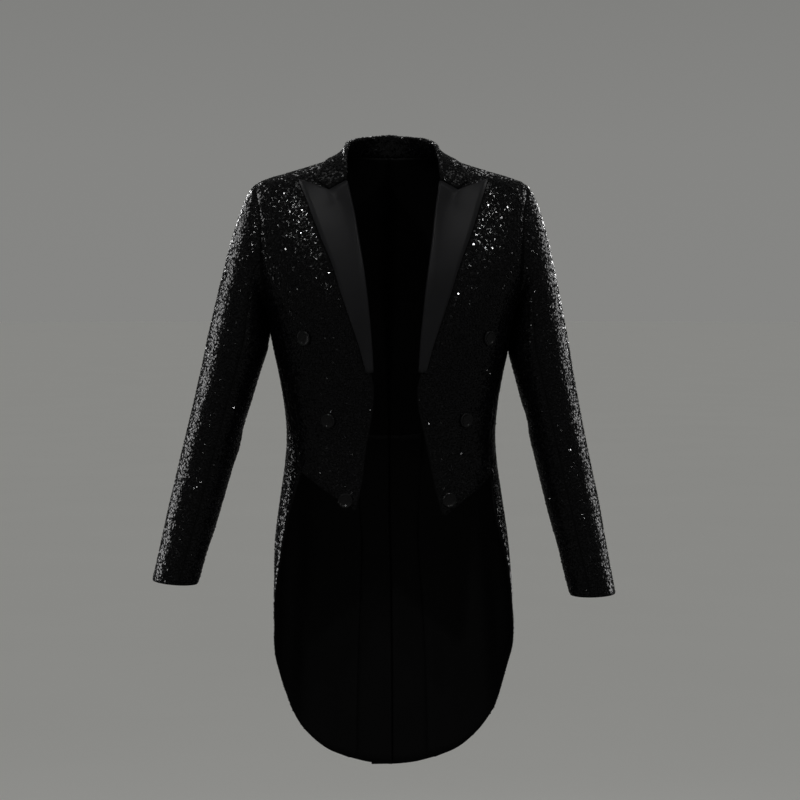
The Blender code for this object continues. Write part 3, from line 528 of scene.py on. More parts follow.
def front_grid(side_name):
    """Places of the front: six Coons patches that meet at the lapel's peak, fold line and foot."""
    m = LAPEL_COLUMNS
    hem, side_seam = front_seams(side_name)
    neck = neckline(side_name, SHOULDER_ROWS)
    shoulder = line((90, 0), (90, ARMHOLE_TOP), m + FRONT_COLUMNS)

    lapel_rows = ARMHOLE_ROWS + LAPEL_TAIL_ROWS
    roll_heights = np.linspace(GORGE_HEIGHT, LAPEL_END, EDGE_SAMPLES)
    roll = evenly(place_across(front_edge(side_name, roll_heights), roll_heights), lapel_rows)
    fold_heights = np.linspace(PEAK_TIP_HEIGHT, LAPEL_END, EDGE_SAMPLES)
    lapel_width = smooth(FRONT_EDGE, "lapel_width", fold_heights)
    fold_x = smooth(FRONT_EDGE, side_name, fold_heights) + lapel_width
    fold = evenly(place_across(fold_x, fold_heights), lapel_rows)

    gorge_x = front_edge(side_name, np.array([GORGE_HEIGHT]))[0]
    top_x = np.array([gorge_x, gorge_x + NOTCH_INSET, fold_x[0]])
    top_z = np.array([GORGE_HEIGHT, GORGE_HEIGHT - NOTCH_DROP, PEAK_TIP_HEIGHT])
    columns = np.interp(np.arange(m + 1), (0, 2 * FINE, m), (0, 1, 2))
    top_x, top_z = (np.interp(columns, range(3), values) for values in (top_x, top_z))
    lapel_top = place_across(top_x, top_z)

    upper_armhole = armhole(0, PEAK_ON_ARMHOLE, SHOULDER_ROWS)
    lower_armhole = armhole(PEAK_ON_ARMHOLE, SIDE_ON_ARMHOLE, ARMHOLE_ROWS)
    chest = line(lapel_top[-1], upper_armhole[-1], FRONT_COLUMNS)
    over_peak_fall = PEAK_TIP_HEIGHT - shoulder[m, 1]
    over_peak_z = shoulder[m, 1] + over_peak_fall * np.linspace(0, 1, SHORT_EDGE_SAMPLES) ** 2
    ridge_x = smooth(BODY, "half_width", shoulder[m, 1])
    over_peak_x = np.linspace(ridge_x, fold_x[0], SHORT_EDGE_SAMPLES)
    over_peak = evenly(place_across(over_peak_x, over_peak_z), SHOULDER_ROWS)

    outer = np.concatenate([lower_armhole[:-1], side_seam[: LAPEL_TAIL_ROWS + 1]])
    lapel_foot = line(roll[-1], fold[-1], m)
    belly = line(fold[-1], outer[-1], FRONT_COLUMNS)
    edge_heights = np.linspace(LAPEL_END, hem[0, 1], SHORT_EDGE_SAMPLES)
    edge_x = front_edge(side_name, edge_heights)
    edge = evenly(place_across(edge_x, edge_heights), SKIRT_OF_FRONT_ROWS)
    edge[-1] = hem[0]
    below_fold = line(fold[-1], hem[m], SKIRT_OF_FRONT_ROWS)
    side_below = side_seam[LAPEL_TAIL_ROWS:]

    blocks = [
        (
            fill(shoulder[: m + 1], lapel_top, neck, over_peak),
            fill(shoulder[m:], chest, over_peak, upper_armhole),
        ),
        (
            fill(lapel_top, lapel_foot, roll, fold),
            fill(chest, belly, fold, outer),
        ),
        (
            fill(lapel_foot, hem[: m + 1], edge, below_fold),
            fill(belly, hem[m:], below_fold, side_below),
        ),
    ]
    bands = [np.concatenate([inner[:, :-1], other], axis=1) for inner, other in blocks]
    return np.concatenate([bands[0][:-1], bands[1][:-1], bands[2]])


def back_seam():
    """The curved seam between side body and back, from the armhole to the waist."""
    top = armhole(BACK_ON_ARMHOLE, BACK_ON_ARMHOLE, 0)[0]
    return curve_through([top, *BACK_SEAM_MIDDLE, WAIST_AT_BACK], SEAM_ROWS)


def strip_seam():
    """The seam from the waist to the hem, between the back's long strip and the skirt."""
    return curve_through([WAIST_AT_BACK, *STRIP_MIDDLE, STRIP_FOOT], TAIL_ROWS)


def waist_seam(side_name):
    """The seam round the waist, from the front's hem to the back's strip."""
    hem, _ = front_seams(side_name)
    return curve_through([hem[-1], WAIST_AT_SIDE, WAIST_BETWEEN, WAIST_AT_BACK], SIDE_COLUMNS)


def side_grid(side_name):
    """Places of the side body, from the front's seam to the back's."""
    top = armhole(SIDE_ON_ARMHOLE, BACK_ON_ARMHOLE, SIDE_COLUMNS)
    _, side_seam = front_seams(side_name)
    return fill(top, waist_seam(side_name), side_seam, back_seam())


def back_grid():
    """Places of the back from centre to side, with the strip that runs on to the hem."""
    shoulder = line((90, 0), (90, ARMHOLE_TOP), SHOULDER_ROWS)
    arm = armhole(360, BACK_ON_ARMHOLE, BACK_ARMHOLE_ROWS)
    outer = np.concatenate([shoulder[:-1], arm[:-1], back_seam()[:-1], strip_seam()])
    stops = np.cumsum([0, SHOULDER_ROWS, BACK_ARMHOLE_ROWS, SEAM_ROWS, TAIL_ROWS])
    centre_heights = [0, SHOULDER_ON_BACK, BACK_ON_CENTRE, WAIST_ON_CENTRE, TAIL_FOOT]
    rows = np.arange(stops[-1] + 1)
    heights = np.interp(rows, stops, centre_heights)
    centre = np.stack([np.full(len(rows), 180.0), heights], axis=-1)
    hem = curve_through([Stitch(180.0, TAIL_FOOT), STRIP_HEM, STRIP_FOOT], BACK_COLUMNS)
    return fill(back_neckline()[::-1], hem, centre, outer)


def tail_grid(side_name):
    """Places of the skirt, from its receding front edge to the strip, and the pleat's tuck."""
    waist = waist_seam(side_name)
    edge = curve_through([waist[0], *TAIL_EDGE, TAIL_CORNER], TAIL_ROWS)
    foot = curve_through([TAIL_CORNER, *TAIL_ROUND, STRIP_FOOT], SIDE_COLUMNS)
    grid = fill(waist, foot, edge, strip_seam())
    opening = np.clip((np.arange(len(grid)) - FINE) / (3 * FINE), PLEAT_START, 1)[:, None, None]
    tuck = opening * np.linspace(0, PLEAT_TUCK, FINE + 1)[1:, None] * np.array([1.0, 0.0])
    return np.concatenate([grid, grid[:, -1:] + tuck], axis=1)


# ---------------------------------------------------------------- cloth


def folds_on(turn, height, folds):
    """Soft ridges and troughs: a bell across each fold's leaning line, times a bell along it."""
    rise = np.zeros(np.broadcast(turn, height).shape)
    for fold in folds:
        aside = turn - fold.angle - fold.lean * (height - fold.height)
        across = (aside / fold.wide) ** 2
        along = ((height - fold.height) / fold.tall) ** 2
        rise += fold.depth * np.exp(-across - along)
    return rise


def cloth_on_body(places, side, depth):
    """Points and normals of cloth on the body, with the folds of the side it belongs to."""
    out = straight_out(places)
    shift = BODY_SHIFT[side]
    rise = folds_on(places[..., 0] + shift.turn, places[..., 1] * shift.stretch, FOLDS) * depth
    return body(places) + out * rise[..., None], out


def worn_side(points, side):
    """Carry points modelled on the wearer's left over to the side they belong to."""
    return points * np.array([side, 1, 1])


def hung(points, side):
    """The same for the panels, with the coat's swing below the waist."""
    placed = worn_side(points, side)
    placed[..., 0] += smooth(SWING, "across", placed[..., 2])
    return placed


def denser(grid, times):
    """The same grid with each cell split in both ways by straight blends of its corners."""
    for axis in (0, 1):
        values = np.moveaxis(grid, axis, 0)
        at = np.linspace(0, len(values) - 1, (len(values) - 1) * times + 1)
        k = np.minimum(at.astype(int), len(values) - 2)
        t = (at - k).reshape(-1, *[1] * (values.ndim - 1))
        grid = np.moveaxis(values[k] * (1 - t) + values[k + 1] * t, 0, axis)
    return grid


def grid_normals(points, closed=False):
    """Unit normals of a grid: the cross product of its two gradients."""
    if closed:
        points = np.concatenate([points[:, -2:], points, points[:, :2]], axis=1)
    down, along = np.gradient(points, axis=0), np.gradient(points, axis=1)
    normal = np.cross(down, along)
    normal /= np.maximum(np.linalg.norm(normal, axis=-1, keepdims=True), 1e-12)
    return normal[:, 2:-2] if closed else normal


def fix_in_place(piece, node):
    """Fix a piece to the frame in place of the node it stands for."""
    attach(piece, "root")
    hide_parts(node)


def put_in_scene(name, data):
    """A new object of the scene with this mesh, light or camera."""
    made = bpy.data.objects.new(name, data)
    bpy.context.scene.collection.objects.link(made)
    return made


def no_cells(points):
    """A mark for every cell of a grid, with none set."""
    return np.zeros((points.shape[0] - 1, points.shape[1] - 1), bool)


def shell(name, node, slot, points, outward, thickness, materials, left_out=None):
    """A grid of points as a thin shell, half its thickness to each side, in place of its node.

    outward is a rough direction out of the cloth for every point.  The first material is the
    outside's, and the last one the inside's.  left_out marks cells that the cloth doesn't have.
    """
    rows, columns = points.shape[:2]
    index = np.arange(rows * columns).reshape(rows, columns)
    cells = np.stack([index[:-1, :-1], index[1:, :-1], index[1:, 1:], index[:-1, 1:]], axis=-1)
    if left_out is not None:
        cells = cells[~left_out]
    used, cells = np.unique(cells, return_inverse=True)
    cells = cells.reshape(-1, 4)
    flat = points.reshape(-1, 3)[used]
    ways = outward.reshape(-1, 3)[used]
    corners = flat[cells]
    face = np.cross(corners[:, 2] - corners[:, 0], corners[:, 3] - corners[:, 1])
    if (face * ways[cells[:, 0]]).sum() < 0:
        cells = cells[:, ::-1]
    mesh = bpy.data.meshes.new(name)
    mesh.from_pydata(flat.tolist(), [], cells.tolist())
    mesh.shade_smooth()
    for material in materials:
        mesh.materials.append(material)
    piece = put_in_scene(name, mesh)
    wall = piece.modifiers.new("Cloth thickness", "SOLIDIFY")
    wall.thickness = thickness
    wall.offset = 0
    wall.use_even_offset = True
    wall.material_offset = len(materials) - 1
    fix_in_place(piece, node)
    return piece


def from_edges(points, left_out=None):
    """How far each grid point lies from the cloth's four sides, along the grid's own lines.

    It is the running sum of the steps from each side, where cells that are left out count nothing.
    """
    sides = []
    for axis in (1, 0):
        steps = np.linalg.norm(np.diff(points, axis=axis), axis=-1)
        if left_out is not None:
            steps = steps * np.concatenate([~left_out, (~left_out).take([-1], 1 - axis)], 1 - axis)
        run = np.concatenate([np.zeros_like(steps.take([0], axis)), np.cumsum(steps, axis)], axis)
        sides += [run, run.take([-1], axis) - run]
    return np.stack(sides, axis=-1)


def scatter_sequins(name, points, normals, settings, seed, left_out=None):
    """Six-sided sequins sewn over a fine grid.

    A cell gets its area over one sequin's share of cloth, a cell of the triangular lattice, rounded
    up or down by chance, so that they lie evenly.  Each one is a flat disc in the cloth's plane,
    turned and tipped a little by chance.  None is sewn on a seam, and those beside it lean toward
    it, as the cloth turns down there.
    """
    chance = np.random.default_rng(seed)
    a, b, c, d = points[:-1, :-1], points[1:, :-1], points[1:, 1:], points[:-1, 1:]
    area = np.linalg.norm(np.cross(c - a, d - b), axis=-1) / 2
    share = settings.sequin_pitch**2 * math.sqrt(0.75)
    count = np.floor(area / share + chance.random(area.shape)).astype(int)
    if left_out is not None:
        count[left_out] = 0
    row, column = np.nonzero(count)
    times = count[row, column]
    row, column = np.repeat(row, times), np.repeat(column, times)
    u, v = 0.5 + CELL_SHARE * (chance.random((2, len(row), 1)) - 0.5)

    def blend(values):
        """Each sequin's own blend of its cell's four corners."""
        upper = values[row, column] * (1 - v) + values[row, column + 1] * v
        lower = values[row + 1, column] * (1 - v) + values[row + 1, column + 1] * v
        return upper * (1 - u) + lower * u

    sides = blend(from_edges(points, left_out))
    sewn = sides.min(axis=1) > SEAM_BARE
    row, column, u, v, sides = row[sewn], column[sewn], u[sewn], v[sewn], sides[sewn]
    centre, out = blend(points), blend(normals)
    run = points[row, column + 1] - points[row, column]
    down = unit(points[row + 1, column] - points[row, column])
    near = SEAM_LEAN * np.exp(-((sides / SEAM_REACH) ** 2))
    loose = chance.random((len(row), 1)) < settings.loose_sequins
    spread = np.where(loose, math.tan(settings.loose_tilt), math.tan(settings.sequin_tilt))
    tip = chance.normal(0, 1, (len(row), 2)) * spread
    across = unit(np.cross(out, run))
    run = unit(np.cross(across, out))
    facing = out + run * tip[:, :1] + across * tip[:, 1:]
    facing += run * (near[:, 1:2] - near[:, :1]) + down * (near[:, 3:] - near[:, 2:3])
    facing = unit(facing)
    run = unit(run - facing * (run * facing).sum(axis=1, keepdims=True))
    across = np.cross(facing, run)
    lift = SEQUIN_LIFT + SEQUIN_LIFT_SPREAD * chance.random((len(row), 1))
    centre = centre + out * lift
    turn = chance.random(len(row))[:, None] * math.tau / 6 + np.arange(6) * math.tau / 6
    radius = settings.sequin_size / 2
    cos, sin = np.cos(turn)[..., None], np.sin(turn)[..., None]
    rim = radius * (cos * run[:, None] + sin * across[:, None])
    corners = (centre[:, None] + rim).reshape(-1, 3)

    mesh = bpy.data.meshes.new(name)
    mesh.vertices.add(len(corners))
    mesh.vertices.foreach_set("co", corners.astype(np.float32).ravel())
    mesh.loops.add(len(corners))
    mesh.loops.foreach_set("vertex_index", np.arange(len(corners), dtype=np.int32))
    mesh.polygons.add(len(row))
    mesh.polygons.foreach_set("loop_start", np.arange(0, len(corners), 6, dtype=np.int32))
    mesh.polygons.foreach_set("loop_total", np.full(len(row), 6, dtype=np.int32))
    variety = mesh.attributes.new("variety", "FLOAT", "FACE")
    variety.data.foreach_set("value", chance.random(len(row)).astype(np.float32))
    mesh.update(calc_edges=True)
    mesh.validate()
    mesh.materials.append(sequin_material(settings))
    piece = put_in_scene(name, mesh)
    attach(piece, "root")
    return piece


# ---------------------------------------------------------------- materials


# How much a cloth's colour and roughness wander over it.
BLOTCH = 0.25
ROUGHNESS_BELOW = 0.05
ROUGHNESS_ABOVE = 0.07


def from_hex(code):
    """Linear red, green and blue from an sRGB hex value such as 1a1a1c."""
    values = np.array([int(code[k : k + 2], 16) for k in (0, 2, 4)]) / 255
    linear = np.where(values <= 0.04045, values / 12.92, ((values + 0.055) / 1.055) ** 2.4)
    return tuple(float(value) for value in linear)


def add_node(tree, kind, links=(), **settings):
    """Add a node; settings are its properties or sockets by name, links are (socket, output)."""
    node = tree.nodes.new(kind)
    for key, value in settings.items():
        if hasattr(node, key):
            setattr(node, key, value)
        else:
            node.inputs[key.replace("_", " ")].default_value = value
    for socket, output in links:
        tree.links.new(output, node.inputs[socket])
    return node


def between(tree, value, low, high):
    """A value from 0 to 1 carried over to low to high."""
    spread = add_node(tree, "ShaderNodeMapRange", [("Value", value)], To_Min=low, To_Max=high)
    return spread.outputs["Result"]


def noise(tree, place, scale, detail):
    """Soft blotches, so many to the metre, with finer ones in them."""
    links = [("Vector", place.outputs["Object"])]
    blotches = add_node(tree, "ShaderNodeTexNoise", links, Scale=scale, Detail=detail)
    return blotches.outputs["Fac"]


def relief(tree, height, strength, distance):
    """A surface that seems to rise and sink with a height."""
    bumps = [("Height", height)]
    made = add_node(tree, "ShaderNodeBump", bumps, Strength=strength, Distance=distance)
    return made.outputs["Normal"]


def two_tones(tree, value, tones, places=(0, 1)):
    """A blend from one colour to another as a value goes from the first place to the second."""
    ramp = add_node(tree, "ShaderNodeValToRGB", [("Fac", value)])
    for step, place, tone in zip(ramp.color_ramp.elements, places, tones):
        step.position = place
        step.color = (*tone, 1)
    return ramp.outputs["Color"]


def new_material(name):
    """An empty node material with its Principled shader, or the one already made."""
    found = bpy.data.materials.get(name)
    if found:
        return found, None, None
    material = bpy.data.materials.new(name)
    material.use_nodes = True
    shader = material.node_tree.nodes["Principled BSDF"]
    return material, material.node_tree, shader


def plug_in(tree, shader, **outputs):
    """Link each output to the shader's socket of that name."""
    for name, output in outputs.items():
        tree.links.new(output, shader.inputs[name.replace("_", " ")])


def sequin_material(settings):
    """Black glazed plastic film, punched into discs: each one a small dark mirror of its own."""
    material, tree, shader = new_material("Glazed black sequins")
    if tree is None:
        return material
    variety = add_node(tree, "ShaderNodeAttribute", attribute_name="variety")
    tones = (from_hex("020203"), settings.sequin_colour)
    tint = two_tones(tree, variety.outputs["Fac"], tones)
    rough = between(tree, variety.outputs["Fac"], 0.07, 0.26)
    plug_in(tree, shader, Base_Color=tint, Roughness=rough)
    shader.inputs["IOR"].default_value = 1.50
    return material


def woven_material(name, colour, roughness, thread_mm, bump, gloss, aniso=0.0):
    """Woven cloth: two crossed waves for the threads, and slow noise for handling and wear.

    Real threads are too fine to show, so thread_mm is as coarse as it needs to be to be seen.
    """
    material, tree, shader = new_material(name)
    if tree is None:
        return material
    place = add_node(tree, "ShaderNodeTexCoord")
    threads = math.pi / (thread_mm / 1000) / 10
    warp, weft = (
        add_node(
            tree,
            "ShaderNodeTexWave",
            [("Vector", place.outputs["Object"])],
            bands_direction=direction,
            Scale=threads,
            Distortion=0.6,
        )
        for direction in "XZ"
    )
    weave = add_node(
        tree,
        "ShaderNodeMath",
        [(0, warp.outputs["Fac"]), (1, weft.outputs["Fac"])],
        operation="MULTIPLY",
    )
    slow = noise(tree, place, 9.0, 3.0)
    tones = [[value * (1 + change) for value in colour] for change in (-BLOTCH, BLOTCH)]
    tint = two_tones(tree, slow, tones, (0.3, 0.75))
    rough = between(tree, slow, roughness - ROUGHNESS_BELOW, roughness + ROUGHNESS_ABOVE)
    woven = relief(tree, weave.outputs["Value"], bump, thread_mm / 4000)
    plug_in(tree, shader, Base_Color=tint, Roughness=rough, Normal=woven)
    shader.inputs["Specular IOR Level"].default_value = gloss
    shader.inputs["Anisotropic"].default_value = aniso
    return material


def net_material():
    """Black woven ground cloth under the sequins: dull and dark between the discs."""
    return woven_material(
        "Black woven ground cloth",
        from_hex("050506"),
        roughness=0.80,
        thread_mm=1.2,
        bump=0.5,
        gloss=0.2,
    )


def satin_material(settings):
    """Black duchesse satin: long floats give it a smooth face with a broad soft gleam."""
    return woven_material(
        "Black duchesse satin",
        settings.satin_colour,
        roughness=0.42,
        thread_mm=0.9,
        bump=0.12,
        gloss=0.22,
        aniso=0.45,
    )


def lining_material(settings):
    """Black viscose lining: thin, smooth and a little glossy, with a fine even weave."""
    return woven_material(
        "Black viscose lining",
        settings.lining_colour,
        roughness=0.55,
        thread_mm=0.8,
        bump=0.15,
        gloss=0.22,
    )


def button_material():
    """Polished black casein: moulded, turned and buffed, with faint rings left by the turning."""
    material, tree, shader = new_material("Polished black casein")
    if tree is None:
        return material
    rings = add_node(tree, "ShaderNodeAttribute", attribute_name="out")
    wave = add_node(tree, "ShaderNodeMath", [(0, rings.outputs["Fac"])], operation="SINE")
    turned = relief(tree, wave.outputs["Value"], 0.08, 0.0002)
    place = add_node(tree, "ShaderNodeTexCoord")
    rough = between(tree, noise(tree, place, 160.0, 2.0), 0.10, 0.24)
    plug_in(tree, shader, Normal=turned, Roughness=rough)
    shader.inputs["Base Color"].default_value = (*from_hex("0d0d0e"), 1)
    shader.inputs["IOR"].default_value = 1.54
    return material


def floor_material(settings):
    """Painted studio floor: pale, dull and very slightly uneven."""
    material, tree, shader = new_material("Pale painted floor")
    if tree is None:
        return material
    place = add_node(tree, "ShaderNodeTexCoord")
    pale = settings.floor_colour
    tones = ([value * 0.96 for value in pale], pale)
    plug_in(tree, shader, Base_Color=two_tones(tree, noise(tree, place, 1.5, 4.0), tones))
    shader.inputs["Roughness"].default_value = 0.9
    return material


# ---------------------------------------------------------------- settings


def number(name, description, default, **limits):
    """A number that a user may change, with its limits, or its kind as Blender names kinds."""
    return bpy.props.FloatProperty(name=name, description=description, default=default, **limits)


def length(name, description, default):
    """A length that a user may change."""
    return number(name, description, default, unit="LENGTH")


def angle(name, description, degrees):
    """An angle that a user may change."""
    return number(name, description, math.radians(degrees), subtype="ANGLE")


def colour(name, description, code):
    """A colour that a user may change."""
    return bpy.props.FloatVectorProperty(
        name=name, description=description, default=from_hex(code), subtype="COLOR"
    )


class TailcoatSettings(bpy.types.PropertyGroup):
    """Sizes and colours of the coat that a user would change."""

    cloth: length("Cloth", "Thickness of the outer cloth", CLOTH)
    lining: length("Lining", "Thickness of the lining", LINING)
    fold_depth: number("Fold depth", "Depth of the cloth's soft folds", 1.0, min=0, max=2)
    sequin_size: length("Sequin size", "Width of one sequin", 0.0031)
    sequin_pitch: length("Sequin pitch", "Spacing of the sequins", 0.00265)
    sequin_tilt: number("Sequin tilt", "How far sequins tip", 0.11, subtype="ANGLE")
    loose_tilt: number("Loose tilt", "How far loose sequins tip", 0.36, subtype="ANGLE")
    loose_sequins: number("Loose sequins", "Share that hang loose", 0.05, subtype="FACTOR")
    seed: bpy.props.IntProperty(
        name="Seed", description="Starts the sequins' chance numbers", default=11
    )
    sequin_colour: colour("Sequins", "Sequins' lighter colour", "0b0b0d")
    satin_colour: colour("Satin", "Colour of the lapels", "1e1e20")
    lining_colour: colour("Lining colour", "Colour of the lining", "040405")


class StageSettings(bpy.types.PropertyGroup):
    """The camera, the lights and the floor."""

    distance: length("Distance", "Camera to target", 3.6)
    lens: number("Lens", "Focal length in mm", 108.0)
    azimuth: angle("Azimuth", "Camera round the coat", -2)
    elevation: angle("Elevation", "Camera above level", 3)
    target: bpy.props.FloatVectorProperty(
        name="Target",
        description="Point in the middle of the view",
        default=(0.0135, 0, -0.3645),
        subtype="TRANSLATION",
    )
    floor_height: length("Floor height", "Height of the floor", -1.42)
    floor_colour: colour("Floor", "Colour of the floor", "f0f0ee")


# ---------------------------------------------------------------- operators


def lay_panel(places, side, settings, times=1, shape=None):
    """Points and ways out of a panel, on a grid so many times denser, moved by its own shape."""
    if times > 1:
        places = denser(places, times)
    points, out = cloth_on_body(places, side, settings.fold_depth)
    if shape:
        points = shape(points, out, times)
    return hung(points, side), worn_side(out, side)


# A sewn panel: what it is called, its node, its flat cut, how it is held, and its sequins' seed.
SewnPanel = namedtuple("SewnPanel", "label node cut held carried_by seed")


def sew(panel, mark, cloth, over, settings, missing=None, bare=None, lined=True):
    """Make a panel as a shell of cloth with the sequins over it.

    cloth and over are each a grid of points and their ways out, over being the finer one.  missing
    marks the cells of cloth that aren't there, and bare the cells of over that carry no sequins.
    """
    name, node = f"{panel.label}_cloth{mark}", panel.node + mark
    cloths = (net_material(), lining_material(settings))[: 1 + lined]
    piece = shell(name, node, "sequinned_cloth", *cloth, settings.cloth, cloths, missing)
    name, seed = f"{panel.label}_sequins{mark}", settings.seed + panel.seed
    sequins = scatter_sequins(name, *over, settings, seed, bare)


class TAILCOAT_OT_fronts(bpy.types.Operator):
    """Make both fronts in sequinned cloth, open at the centre and cut away below"""

    bl_idname = "tailcoat.fronts"
    bl_label = "Fronts"

    def execute(self, context):
        settings = context.scene.tailcoat
        top = SHOULDER_ROWS * DENSER + 1
        foot = (SHOULDER_ROWS + ARMHOLE_ROWS + LAPEL_TAIL_ROWS) * DENSER - 1
        for side_name, side in SIDES:
            places = front_grid(side_name)
            cloth = lay_panel(places, side, settings)
            over = lay_panel(places, side, settings, DENSER)
            under_lapel = no_cells(over[0])
            under_lapel[top:foot, : LAPEL_COLUMNS * DENSER] = True
            panel = SewnPanel("front", "front", "front", "hung", f"back_{side_name}", side)
            sew(panel, f"_{side_name}", cloth, over, settings, bare=under_lapel)
        return {"FINISHED"}


def lapel_rise(rows, side, settings):
    """How far the lapel stands off the front.

    From the fold's outer edge to the roll it grows evenly, with half a sine of loft.  A crease is
    taken off, a bell across a line that leans down from the notch, and a slow sine is added.
    """
    toward_edge = np.linspace(1, 0, LAPEL_COLUMNS + 1)[None, :, None]
    down = np.linspace(0, 1, rows)[:, None, None]
    lift = settings.cloth + LAYER_GAP
    rise = lift + (ROLL_RADIUS - lift) * toward_edge
    rise = rise + LAPEL_LOFT * np.sin(np.pi * toward_edge)
    from_crease = (1 - toward_edge) - (CREASE_PLACE + CREASE_LEAN * down)
    crease = np.exp(-((from_crease / CREASE_WIDTH) ** 2)) * np.exp(-((down / CREASE_LENGTH) ** 2))
    wave = np.sin(WAVE_DOWN * down + WAVE_ACROSS * toward_edge + side) * (1 - toward_edge)
    return rise - CREASE_DEPTH * crease + WAVE_DEPTH * wave


class TAILCOAT_OT_lapels(bpy.types.Operator):
    """Make the two pointed satin lapels, rolled round the fronts' edges"""

    bl_idname = "tailcoat.lapels"
    bl_label = "Lapels"

    def execute(self, context):
        settings = context.scene.tailcoat
        rows = slice(SHOULDER_ROWS, SHOULDER_ROWS + ARMHOLE_ROWS + LAPEL_TAIL_ROWS + 1)
        for side_name, side in SIDES:
            places = front_grid(side_name)[rows, : LAPEL_COLUMNS + 1]
            base, out = cloth_on_body(places, side, settings.fold_depth)
            leaf = base + out * lapel_rise(len(base), side, settings)
            beyond = unit(np.cross(np.gradient(base[:, 0], axis=0), out[:, 0]))
            beyond *= -np.sign(beyond[:, :1])
            ways = [math.sin(turn) * beyond + math.cos(turn) * out[:, 0] for turn in ROLL_TURNS]
            roll = [base[:, 0] + ROLL_RADIUS * way for way in ways]
            grid = np.concatenate([np.stack(roll, axis=1), leaf], axis=1)
            outward = np.concatenate([np.stack(ways, axis=1), out], axis=1)
            piece = shell(
                f"lapel_satin_{side_name}",
                f"lapel_{side_name}",
                "satin",
                hung(grid, side),
                worn_side(outward, side),
                settings.cloth,
                (satin_material(settings),),
            )
        return {"FINISHED"}


class TAILCOAT_OT_side_bodies(bpy.types.Operator):
    """Make the two side bodies in sequinned cloth, from armhole to waist"""

    bl_idname = "tailcoat.side_bodies"
    bl_label = "Side bodies"

    def execute(self, context):
        settings = context.scene.tailcoat
        for side_name, side in SIDES:
            places = side_grid(side_name)
            cloth = lay_panel(places, side, settings)
            over = lay_panel(places, side, settings, DENSER)
            neighbours = (f"front_{side_name}", f"back_{side_name}")
            part = "side_body"
            panel = SewnPanel(part, part, part, "hung", neighbours, 10 + side)
            sew(panel, f"_{side_name}", cloth, over, settings)
        return {"FINISHED"}


def raise_lap(points, out, rows, columns, settings):
    """Lift cloth over the other strip, easing in down the rows and off across the columns."""
    rise = settings.cloth + LAYER_GAP + VENT_CLEARANCE
    down = np.clip(rows / FINE, 0, 1)
    over = np.clip(1 - columns / FINE, 0, 1)
    return points + out * (rise * down[:, None] * over[None, :])[..., None]


class TAILCOAT_OT_backs(bpy.types.Operator):
    """Make the two backs with their long strips, lapped at the vent, in sequinned cloth"""

    bl_idname = "tailcoat.backs"
    bl_label = "Backs"

    def execute(self, context):
        settings = context.scene.tailcoat
        for side_name, side in SIDES:
            places = back_grid()
            lap = 2 * FINE if side > 0 else 0
            if lap:
                steps = np.linspace(VENT_LAP, 0, lap + 1)[:-1]
                past = places[:, [0] * lap] + np.stack([steps, np.zeros(lap)], axis=-1)
                places = np.concatenate([past, places], axis=1)

            def over_vent(points, out, times):
                """Raise the left back's edge, from the waist down, over the right one."""
                if not lap:
                    return points
                rows = np.arange(points.shape[0]) / times - WAIST_ROW
                columns = np.arange(points.shape[1]) / times - lap
                return raise_lap(points, out, rows, columns, settings)

            cloth = lay_panel(places, side, settings, 1, over_vent)
            missing = no_cells(cloth[0])
            missing[: WAIST_ROW + FINE, :lap] = True
            over = lay_panel(places, side, settings, DENSER, over_vent)
            bare = no_cells(over[0])
            bare[: (WAIST_ROW + FINE) * DENSER, : lap * DENSER] = True
            flat = "back_with_lap" if lap else "back"
            panel = SewnPanel("back", "back", flat, "hung", (), 20 + side)
            sew(panel, f"_{side_name}", cloth, over, settings, missing, bare)
        return {"FINISHED"}


def sink_pleat(points, out, times):
    """Sink the skirt's back edge under the strip, easing in down from the waist and across."""
    row = np.arange(points.shape[0])[:, None] / times
    column = np.arange(points.shape[1])[None, :] / times
    down = np.clip(row / FINE, 0, 1)
    under = np.clip((column - SIDE_COLUMNS + FINE) / FINE, 0, 1)
    return points - out * (PLEAT_SINK * down * under)[..., None]


def above_pleat(points):
    """The cells beside the waist seam where the pleat's tuck hasn't begun."""
    cells = no_cells(points)
    cells[:FINE, SIDE_COLUMNS:] = True
    return cells


class TAILCOAT_OT_skirts(bpy.types.Operator):
    """Make the two tails in sequinned cloth, rounded at the hem and pleated at the strip"""

    bl_idname = "tailcoat.skirts"
    bl_label = "Tails"

    def execute(self, context):
        settings = context.scene.tailcoat
        shown = slice(0, SIDE_COLUMNS * DENSER + 1)
        for side_name, side in SIDES:
            places = tail_grid(side_name)
            cloth = lay_panel(places, side, settings, 1, sink_pleat)
            over = [g[:, shown] for g in lay_panel(places, side, settings, DENSER, sink_pleat)]
            missing = above_pleat(cloth[0])
            neighbours = (f"side_body_{side_name}", f"back_{side_name}")
            panel = SewnPanel("tail", "skirt", "skirt", "hung", neighbours, 30 + side)
            sew(panel, f"_{side_name}", cloth, over, settings, missing, lined=False)
        return {"FINISHED"}


def set_back(edge, next_in):
    """Draw an edge in toward the next line of points, by the lining's setback."""
    edge += LINING_SETBACK * unit(next_in - edge)


def lining_shell(label, side_name, side, points, out, left_out=None):
    """One lining, hung on its own side, in place of its node."""
    settings = bpy.context.scene.tailcoat
    return shell(
        f"{label}_cloth_{side_name}",
        f"{label}_{side_name}",
        "lining",
        hung(points, side),
        worn_side(out, side),
        settings.lining,
        (lining_material(settings),),
        left_out,
    )


